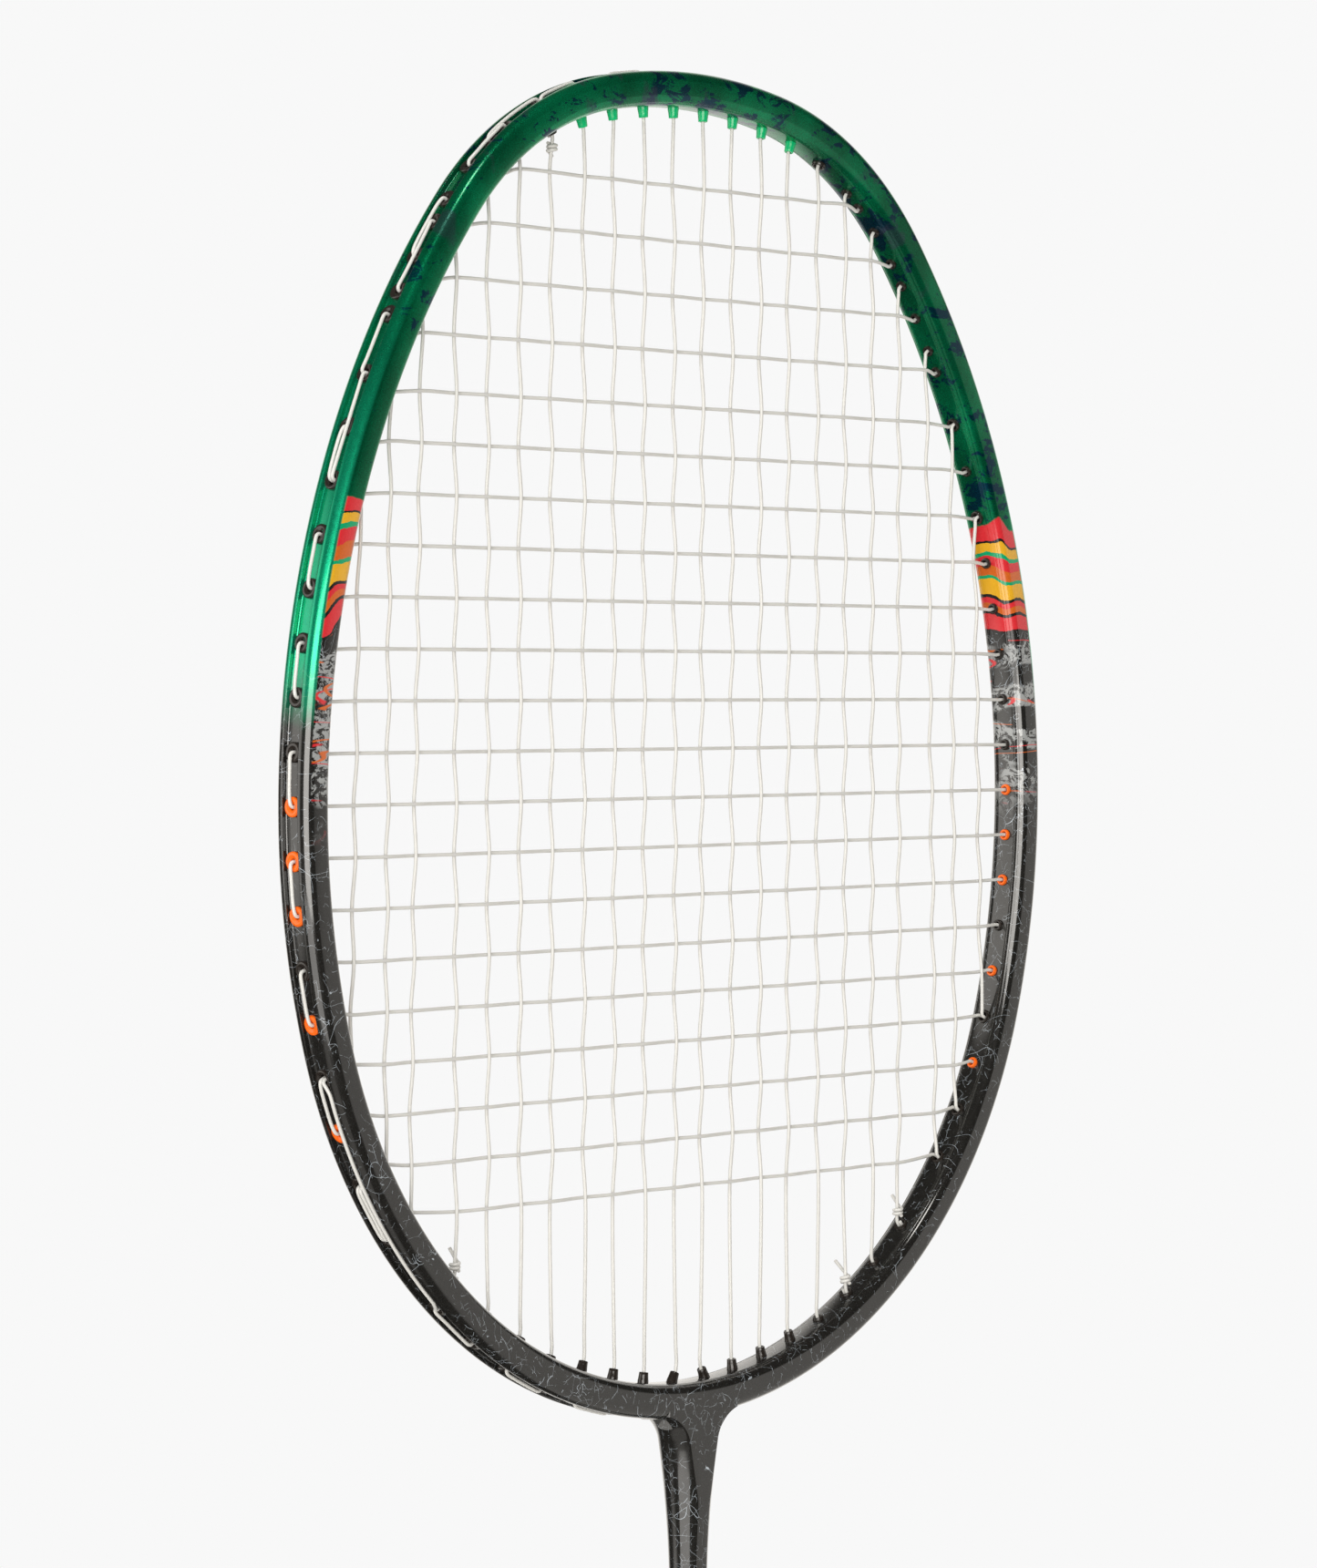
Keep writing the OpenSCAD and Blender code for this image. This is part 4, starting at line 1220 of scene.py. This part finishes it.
def grommet_groups(head):
    groups = {
        "tip": [head.main_hole(k, True) for k in TIP_MAINS],
        "throat": [head.main_hole(k, False) for k in THROAT_MAINS],
    }
    for name, (tops, lows, crosses) in GROMMET_KINDS.items():
        mains = [(k, True) for k in tops] + [(k, False) for k in lows]
        for side in ("left", "right"):
            right = side == "right"
            holes = [head.main_hole(k if right else MAINS + 1 - k, top) for k, top in mains]
            groups[f"{name}_{side}"] = holes + [head.cross_hole(j, right) for j in crosses]
    return groups


def build_grommets(scene):
    head, colours = Head(scene.racket_head, scene.racket_strings), scene.racket_colours
    finishes = {
        "green": moulded_plastic("green_nylon", colours.plug_green, 0.26, 0.4),
        "dark": moulded_plastic("dark_nylon", colours.plug_dark, 0.2, 0.5),
        "orange": moulded_plastic("orange_nylon", colours.plug_orange, 0.28, 0.4),
    }
    for name, holes in grommet_groups(head).items():
        item = along_holes(f"{name}_grommets", head, holes, grommet_profile, 32, True)
        shade = "green" if name == "tip" else "orange" if name.startswith("accent") else "dark"
        finish_piece(item, 45.0, finishes[shade], f"grommet_{shade}", f"grommets_{name}")


# ---- Strings and knots


def build_strings(scene):
    bed = Stringing(scene.racket_head, scene.racket_strings)
    material = braided_string(scene.racket_colours)
    for name, route in (("main_string", bed.main_route()), ("cross_string", bed.cross_route())):
        mesh = cord_mesh(f"{name}_cord", [softened(route)], bed.string_r)
        finish_piece(new_object(mesh), 80.0, material, "string", name)


KNOT_OFF = 1.15  # from the string's bend to the knot's first turn
KNOT_TURNS = 2.15
KNOT_STEPS = 44
TAIL_STEPS = 8


def knot_line(bed, k, top, tail):
    """Two turns round a main beside its hole, and the cut end that sticks out."""
    z = bed.main_z(k, top)
    low, high = bed.main_ends(k)
    p = high if top else low
    q = bed.on_main(k, p.y + (-SETTLE if top else SETTLE))
    way = (raised(q, 0) - raised(p, z)).normalized()
    start = raised(p, z) + way * KNOT_OFF
    side = way.orthogonal().normalized()
    other = way.cross(side)
    r = 2 * bed.string_r + 0.08
    pitch = 2 * bed.string_r + 0.03
    line = []
    for i in range(KNOT_STEPS + 1):
        turn = KNOT_TURNS * i / KNOT_STEPS
        a = math.tau * turn
        line.append(start + way * (pitch * turn) + side * (r * math.cos(a)) + other * (r * math.sin(a)))
    leave = (line[-1] - line[-2]).normalized()
    lift = (line[-1] - (start + way * (pitch * KNOT_TURNS))).normalized()
    for i in range(1, TAIL_STEPS + 1):
        s = tail * i / TAIL_STEPS
        line.append(line[KNOT_STEPS] + leave * s * 0.75 + lift * (0.1 * s) + way * (0.55 * s))
    return line


def build_knots(scene):
    bed = Stringing(scene.racket_head, scene.racket_strings)
    material = braided_string(scene.racket_colours)
    # main, at the tip or not, length of the cut end
    groups = {
        "main_knots": [(k, False, 3.2) for k in MAIN_TIES],
        "cross_knots": [(CROSS_TIE_TOP, True, 1.2), (CROSS_TIE_LOW, False, 4.2)],
    }
    for name, knots in groups.items():
        mesh = cord_mesh(f"{name}_tied", [knot_line(bed, *knot) for knot in knots], bed.string_r)
        finish_piece(new_object(mesh), 80.0, material, "string", name)


# ---- Shaft and handle

SHAFT_WALL = 1.1
SLIP_GAP = 0.06  # round the shaft in the cone
SPIGOT_R, SPIGOT_HEIGHT = 8.55, 9.1  # of the room for the wood inside the cone
CONE_OUTLINE_HEIGHT = 34.0
GRIP_CUT, TAPE_CUT, CAP_CUT = 6.9, 7.1, 7.0  # corners taken off the eight-sided outlines
GRIP_WALL = 1.62
WRAP_SIDES, WRAP_ROWS = 176, 420
TAPE_CREASE = 0.05
TAPE_SOFTNESS = 30.0  # higher is nearer to sharp corners
FLARE_HEIGHT = 28.0  # over which the grip widens down to the butt
PLATE_HEIGHT = 3.0  # of the butt cap under the grip
PLUG_R = 6.5


def turned_piece(name, profile, sides=72):
    return new_object(loft(name, lathe_rings(profile, sides), closed=True))


def build_shaft(scene):
    r = scene.racket_handle.shaft_diameter / MM / 2
    low, high = SHAFT.bottom, SHAFT.top
    bore = r - SHAFT_WALL
    profile = [(bore, low), (r - 0.15, low), (r, low + 0.15)]
    profile += [(r, low + (high - low) * i / 12) for i in range(1, 12)]
    profile += [(r, high - 0.12), (r - 0.1, high), (bore, high)]
    item = turned_piece("shaft_tube", profile)
    finish_piece(item, 35.0, shaft_lacquer(scene.racket_colours), "shaft_paint", "shaft")


def build_cone_cap(scene):
    low, high, base = CONE.bottom, CONE.top, CONE.width / 2
    bore = scene.racket_handle.shaft_diameter / MM / 2 + SLIP_GAP
    # height and inset of the collar, the bead, the long taper and the top ring
    outline = [(0.0, 0.5), (0.5, 0.0), (3.2, 0.0), (3.5, 0.12), (3.75, 0.55), (4.1, 0.6)]
    outline += [(4.4, 0.35), (5.2, 0.35), (9.0, 1.55), (14.0, 3.1), (20.0, 4.55), (26.0, 5.6)]
    outline += [(30.0, 6.05), (30.5, 6.25), (31.0, 6.1), (33.3, 6.25), (33.8, 6.6), (34.0, 6.9)]
    scale = (high - low) / CONE_OUTLINE_HEIGHT
    profile = [(base - inset, low + h * scale) for h, inset in outline]
    profile += [(bore, high), (bore, low + 10), (SPIGOT_R, low + SPIGOT_HEIGHT), (SPIGOT_R, low)]
    item = turned_piece("cone_cap_moulding", profile)
    plastic = moulded_plastic("cone_plastic", (0.02, 0.02, 0.021), 0.3, 0.5, 1.5, 0.00003)
    finish_piece(item, 40.0, plastic, "black_plastic", "cone_cap")


def eight_sided(width, thick, cut, a, softness=26.0):
    """Distance from the middle to a soft-edged eight-sided outline in direction a."""
    slope = (width / 2 + thick / 2 - cut) / math.sqrt(2)
    total = 0.0
    for i in range(8):
        away = {0: width / 2, 2: thick / 2}.get(i % 4, slope)
        c = cosd(a - 45 * i)
        if c > 0:
            total += (c / away) ** softness
    return total ** (-1 / softness)


def wrap_lift(u, pitch, lap, step):
    """How far the wrap stands off at height u in its turn: each turn laps over the one below."""
    if u < lap:
        rounded = min(1.0, u / 0.35)
        lift = step * (rounded * (1 - max(0.0, (u - lap * 0.55) / (lap * 0.45)) ** 2 * 0.55))
    else:
        lift = step * 0.45 * (1 - (u - lap) / (pitch - lap)) ** 1.2
    return lift + 0.06 * math.sin(math.tau * u / pitch) - 0.45


def build_grip(scene):
    sizes = scene.racket_handle
    low, high = GRIP.bottom, GRIP.top
    width, thick = sizes.grip_width / MM, sizes.grip_thickness / MM
    pitch, lap, step = sizes.wrap_pitch / MM, sizes.wrap_lap / MM, sizes.wrap_step / MM

    def outline(z, a):
        grow = (GRIP.width - width) * max(0.0, 1 - (z - low) / FLARE_HEIGHT) ** 1.4
        return eight_sided(width + grow, thick + grow, GRIP_CUT, a)

    def wrapped(z, a):
        lift = wrap_lift((z - low - pitch * a / 360) % pitch, pitch, lap, step)
        under = min(1.0, max(0.0, (z - TAPE.bottom) / 1.5))  # flatter under the tape
        tucked = (1 - min(1.0, (z - low) / 0.8)) ** 2  # drawn in at the butt cap
        return outline(z, a) + lift * (1 - under) - 0.25 * under - 0.5 * tucked

    heights = [low + (high - low) * i / WRAP_ROWS for i in range(WRAP_ROWS + 1)]
    rings = [ring_at(z, WRAP_SIDES, lambda a, z=z: wrapped(z, a)) for z in heights]
    rings += [ring_at(z, WRAP_SIDES, lambda a, z=z: outline(z, a) - GRIP_WALL) for z in (high, low)]
    item = new_object(loft("spiral_grip", rings, closed=True))
    finish_piece(item, 50.0, wrap_rubber(scene.racket_colours), "grip", "base_grip")


def build_tape():
    """The tape that ends the wrap, folded in over the wood round the cone."""
    low, high = TAPE.bottom, TAPE.top
    cone = CONE.width / 2
    # height and lift off the eight-sided outline, and whether the tape is creased there
    outer = [(low, -0.62, 0), (low, -0.1, 1), (low + 0.15, 0.0, 0), (low + 4, -0.06, 1)]
    outer += [(low + 8, -0.02, 1), (high - 0.7, -0.02, 1), (high, -0.1, 1)]
    outer += [(high + 0.22, -0.32, 1), (high + 0.34, -0.75, 0)]
    # radius and height where it is round
    inner = [(cone + 0.25, high + 0.38), (cone + 0.06, high + 0.3), (cone + 0.06, high + 0.08)]

    def edge(z, lift, creased):
        def radius(a):
            crease = TAPE_CREASE * creased * sind(a * 3 + z * 20)
            return eight_sided(TAPE.width, TAPE.thickness, TAPE_CUT, a, TAPE_SOFTNESS) + lift + crease

        return ring_at(z, WRAP_SIDES, radius)

    rings = [edge(*step) for step in outer] + lathe_rings(inner, WRAP_SIDES)
    rings.append(edge(high + 0.06, -0.62, 0))
    item = new_object(loft("end_tape_band", rings, closed=True))
    finish_piece(item, 50.0, vinyl_tape(), "tape", "grip_end_tape")


def build_butt_cap():
    recess = DISC.width / 2 + 0.05
    plate, top, sides = PLATE_HEIGHT, CAP.top, 144
    # height and inset from the eight-sided outline
    outer = [(plate, 0.25), (plate - 0.3, 0.0), (1.5, 0.0), (0.7, 0.12), (0.25, 0.42), (0.0, 0.95)]
    # radius and height of the disc's recess, the bore and the plug
    inner = [(recess + 0.25, 0.0), (recess, 0.12), (recess, 0.85), (0.4, 0.85), (0.4, 1.6)]
    inner += [(0.4, top - 0.5), (0.9, top), (PLUG_R - 0.5, top), (PLUG_R, top - 0.5), (PLUG_R, plate)]

    def edge(z, inset):
        return ring_at(z, sides, lambda a: eight_sided(CAP.width, CAP.thickness, CAP_CUT, a) - inset)

    rings = [edge(*step) for step in outer] + lathe_rings(inner, sides)
    item = new_object(loft("butt_cap_moulding", rings, closed=True))
    plastic = moulded_plastic("cap_plastic", (0.022, 0.022, 0.024), 0.38, 0.2, 1.6, 0.00004)
    finish_piece(item, 40.0, plastic, "black_plastic", "butt_cap")


def build_butt_disc(colours):
    """The bare disc in the butt, with a fine ring round its face."""
    r, height = DISC.width / 2, DISC.top
    profile = [(0.05, height), (r - 0.05, height), (r, height - 0.1), (r, 0.14), (r - 0.14, 0.0)]
    profile += [(r - 0.9, 0.0), (r - 1.05, 0.12), (r - 1.3, 0.12), (r - 1.45, 0.02), (0.05, 0.0)]
    item = turned_piece("butt_disc_inlay", profile)
    lacquer = moulded_plastic("disc_lacquer", colours.green, 0.25, 0.8)
    finish_piece(item, 30.0, lacquer, "disc_green", "butt_disc")


def build_inner_parts(colours):
    """Materials for the CAD nodes that stay as they are."""
    joint = moulded_plastic("joint_nylon", (0.1, 0.1, 0.1), 0.5, 0.0)
    inside = {"t_joint": joint, "shaft_pin": brushed_pin(), "handle_core": bare_wood(colours)}
    for node, material in inside.items():
        coat(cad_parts[node], material)


# ---- Stage

VIEW_BEARING = 42.5  # degrees
CAMERA_SPOT = (-0.6803, -0.6159, 0.5600)
CAMERA_DIRECTION = (0.7371, 0.6755, -0.0197)
SENSOR_HEIGHT = 36.0
FOCAL_LENGTH = 112.06
BACKGROUND = 0.939
WORLD_TINT = (1.0, 0.965, 0.91, 1.0)
WORLD_GLOOM = 0.03  # seen in gloss
WORLD_AMBIENT = 0.33  # lights matt surfaces
FLOOR_RADIUS = 1.2
FLOOR_DROP = 0.0002

# white panels mirrored in the racket: bearing, rise, full inside, gone outside, level
WORLD_PANELS = (
    (VIEW_BEARING, 0.0, 30.0, 50.0, 1.0),
    (340.0, -30.0, 36.0, 44.0, 0.5),
    (141.0, 6.0, 14.0, 28.0, 1.3),
    (185.0, -50.0, 18.0, 34.0, 0.35),
    (250.0, 61.0, 4.0, 6.0, 12.0),
)

# bearing and rise seen from the height it aims at, then distance and size in metres and power in watts
SoftBox = namedtuple("SoftBox", "bearing rise aim distance width height power tint mirrored")
SOFT_BOXES = {
    "front_box": SoftBox(180 + VIEW_BEARING, 0, 0.66, 1.6, 1.4, 0.9, 19, (1.0, 0.97, 0.92), True),
    "neck_box": SoftBox(204, 0, -0.04, 1.6, 1.7, 0.5, 5, (1.0, 0.97, 0.93), True),
    "key_box": SoftBox(192, 42, 0.54, 1.7, 0.9, 0.9, 12, (1, 1, 1), False),
    "top_box": SoftBox(230, 78, 0.54, 1.5, 0.5, 1.0, 3, (1, 1, 1), False),
}


def direction(bearing, rise):
    return Vector((cosd(bearing) * cosd(rise), sind(bearing) * cosd(rise), sind(rise)))


def add_light(name, box):
    data = bpy.data.lights.new(name, "AREA")
    data.shape = "RECTANGLE"
    data.size, data.size_y = box.width, box.height
    data.energy = box.power
    data.color = box.tint
    item = new_object(data)
    way = direction(box.bearing, box.rise)
    item.location = Vector((0, 0, box.aim)) + way * box.distance
    item.rotation_euler = way.to_track_quat("Z", "Y").to_euler()
    item.visible_camera = False
    item.visible_glossy = box.mirrored


def build_world():
    """Even pale surroundings for the camera; for the object, dim ones with white panels."""
    world = bpy.data.worlds.new("pale_studio")
    bpy.context.scene.world = world
    world.use_nodes = True
    f = Nodes(world.node_tree, "ShaderNodeOutputWorld")
    way = f.node("ShaderNodeTexCoord").outputs["Generated"]
    path = f.node("ShaderNodeLightPath")
    level = f.spread(path.outputs["Is Glossy Ray"], WORLD_AMBIENT, WORLD_GLOOM)
    for bearing, rise, inside, outside, strength in WORLD_PANELS:
        inputs = {0: way, 1: direction(bearing, rise)}
        dot = f.node("ShaderNodeVectorMath", inputs, operation="DOT_PRODUCT").outputs["Value"]
        level = f.plus(level, f.between(dot, cosd(outside), cosd(inside), top=strength))
    around = f.node("ShaderNodeBackground", {"Color": WORLD_TINT, "Strength": level})
    seen = f.node("ShaderNodeBackground", {"Color": (BACKGROUND, BACKGROUND, BACKGROUND, 1.0)})
    inputs = {0: path.outputs["Is Camera Ray"], 1: around.outputs[0], 2: seen.outputs[0]}
    f.end(f.node("ShaderNodeMixShader", inputs))


def build_floor():
    mesh = bpy.data.meshes.new("pale_floor")
    rim = lathe_rings([(FLOOR_RADIUS, -FLOOR_DROP)], 96)[0]
    mesh.from_pydata(rim, [], [tuple(range(len(rim)))])
    floor = new_object(mesh)
    coat(floor, floor_paper())
    floor.visible_glossy = False


def add_camera(scene):
    data = bpy.data.cameras.new("camera")
    data.sensor_fit = "VERTICAL"
    data.sensor_height = SENSOR_HEIGHT
    data.lens = FOCAL_LENGTH
    camera = new_object(data)
    camera.location = CAMERA_SPOT
    camera.rotation_euler = Vector(CAMERA_DIRECTION).to_track_quat("-Z", "Y").to_euler()
    scene.camera = camera


def build_stage(scene):
    scene.view_settings.view_transform = "Standard"
    build_world()
    build_floor()
    for name, box in SOFT_BOXES.items():
        add_light(name, box)
    add_camera(scene)


# ---- Operators and panel


class RACKET_OT_stage(bpy.types.Operator):
    """Set the camera, the soft lights, the floor and the pale surroundings"""

    bl_idname = "racket.stage"
    bl_label = "Stage"

    def execute(self, context):
        build_stage(context.scene)
        return {"FINISHED"}


class RACKET_OT_head_frame(bpy.types.Operator):
    """Build the drilled hoop with its neck"""

    bl_idname = "racket.head_frame"
    bl_label = "Head frame"

    def execute(self, context):
        build_head_frame(context.scene)
        return {"FINISHED"}


class RACKET_OT_grommets(bpy.types.Operator):
    """Build all grommets, in their groups"""

    bl_idname = "racket.grommets"
    bl_label = "Grommets"

    def execute(self, context):
        build_grommets(context.scene)
        return {"FINISHED"}


class RACKET_OT_strings(bpy.types.Operator):
    """Build the main and the cross string"""

    bl_idname = "racket.strings"
    bl_label = "Strings"

    def execute(self, context):
        build_strings(context.scene)
        return {"FINISHED"}


class RACKET_OT_knots(bpy.types.Operator):
    """Build the knots that tie off both strings"""

    bl_idname = "racket.knots"
    bl_label = "Knots"

    def execute(self, context):
        build_knots(context.scene)
        return {"FINISHED"}


class RACKET_OT_shaft(bpy.types.Operator):
    """Build the shaft"""

    bl_idname = "racket.shaft"
    bl_label = "Shaft"

    def execute(self, context):
        build_shaft(context.scene)
        return {"FINISHED"}


class RACKET_OT_cone_cap(bpy.types.Operator):
    """Build the cone between the handle and the shaft"""

    bl_idname = "racket.cone_cap"
    bl_label = "Cone cap"

    def execute(self, context):
        build_cone_cap(context.scene)
        return {"FINISHED"}


class RACKET_OT_grip(bpy.types.Operator):
    """Build the spiral wrap and the tape at its end"""

    bl_idname = "racket.grip"
    bl_label = "Grip"

    def execute(self, context):
        build_grip(context.scene)
        build_tape()
        return {"FINISHED"}


class RACKET_OT_butt(bpy.types.Operator):
    """Build the butt cap and its disc"""

    bl_idname = "racket.butt"
    bl_label = "Butt"

    def execute(self, context):
        build_butt_cap()
        build_butt_disc(context.scene.racket_colours)
        return {"FINISHED"}


class RACKET_OT_inner_parts(bpy.types.Operator):
    """Finish the parts inside: the joint, the pin and the handle's core"""

    bl_idname = "racket.inner_parts"
    bl_label = "Inner parts"

    def execute(self, context):
        build_inner_parts(context.scene.racket_colours)
        return {"FINISHED"}


OPERATORS = (
    RACKET_OT_stage,
    RACKET_OT_head_frame,
    RACKET_OT_grommets,
    RACKET_OT_strings,
    RACKET_OT_knots,
    RACKET_OT_shaft,
    RACKET_OT_cone_cap,
    RACKET_OT_grip,
    RACKET_OT_butt,
    RACKET_OT_inner_parts,
)
GROUPS = {
    "racket_head": RacketHeadSizes,
    "racket_strings": RacketStringSizes,
    "racket_handle": RacketHandleSizes,
    "racket_colours": RacketColours,
}


class RACKET_PT_panel(bpy.types.Panel):
    """Lists the racket's pieces, sizes and colours"""

    bl_idname = "RACKET_PT_panel"
    bl_label = "Badminton racket"
    bl_space_type = "VIEW_3D"
    bl_region_type = "UI"
    bl_category = "Racket"

    def draw(self, context):
        column = self.layout.column()
        for operator in OPERATORS:
            column.operator(operator.bl_idname)
        for name in GROUPS:
            group = getattr(context.scene, name)
            box = self.layout.box()
            for prop in group.bl_rna.properties:
                if prop.identifier not in ("rna_type", "name"):
                    box.prop(group, prop.identifier)


def register():
    for group in GROUPS.values():
        bpy.utils.register_class(group)
    for name, group in GROUPS.items():
        setattr(bpy.types.Scene, name, PointerProperty(type=group))
    for operator in OPERATORS:
        bpy.utils.register_class(operator)
    bpy.utils.register_class(RACKET_PT_panel)


def unregister():
    bpy.utils.unregister_class(RACKET_PT_panel)
    for operator in reversed(OPERATORS):
        bpy.utils.unregister_class(operator)
    for name in GROUPS:
        delattr(bpy.types.Scene, name)
    for group in reversed(list(GROUPS.values())):
        bpy.utils.unregister_class(group)


def main():
    register()
    bpy.ops.racket.stage()
    bpy.ops.racket.head_frame()
    bpy.ops.racket.grommets()
    bpy.ops.racket.strings()
    bpy.ops.racket.knots()
    bpy.ops.racket.shaft()
    bpy.ops.racket.cone_cap()
    bpy.ops.racket.grip()
    bpy.ops.racket.butt()
    bpy.ops.racket.inner_parts()
    bpy.context.view_layer.update()


if __name__ == "__main__":
    main()
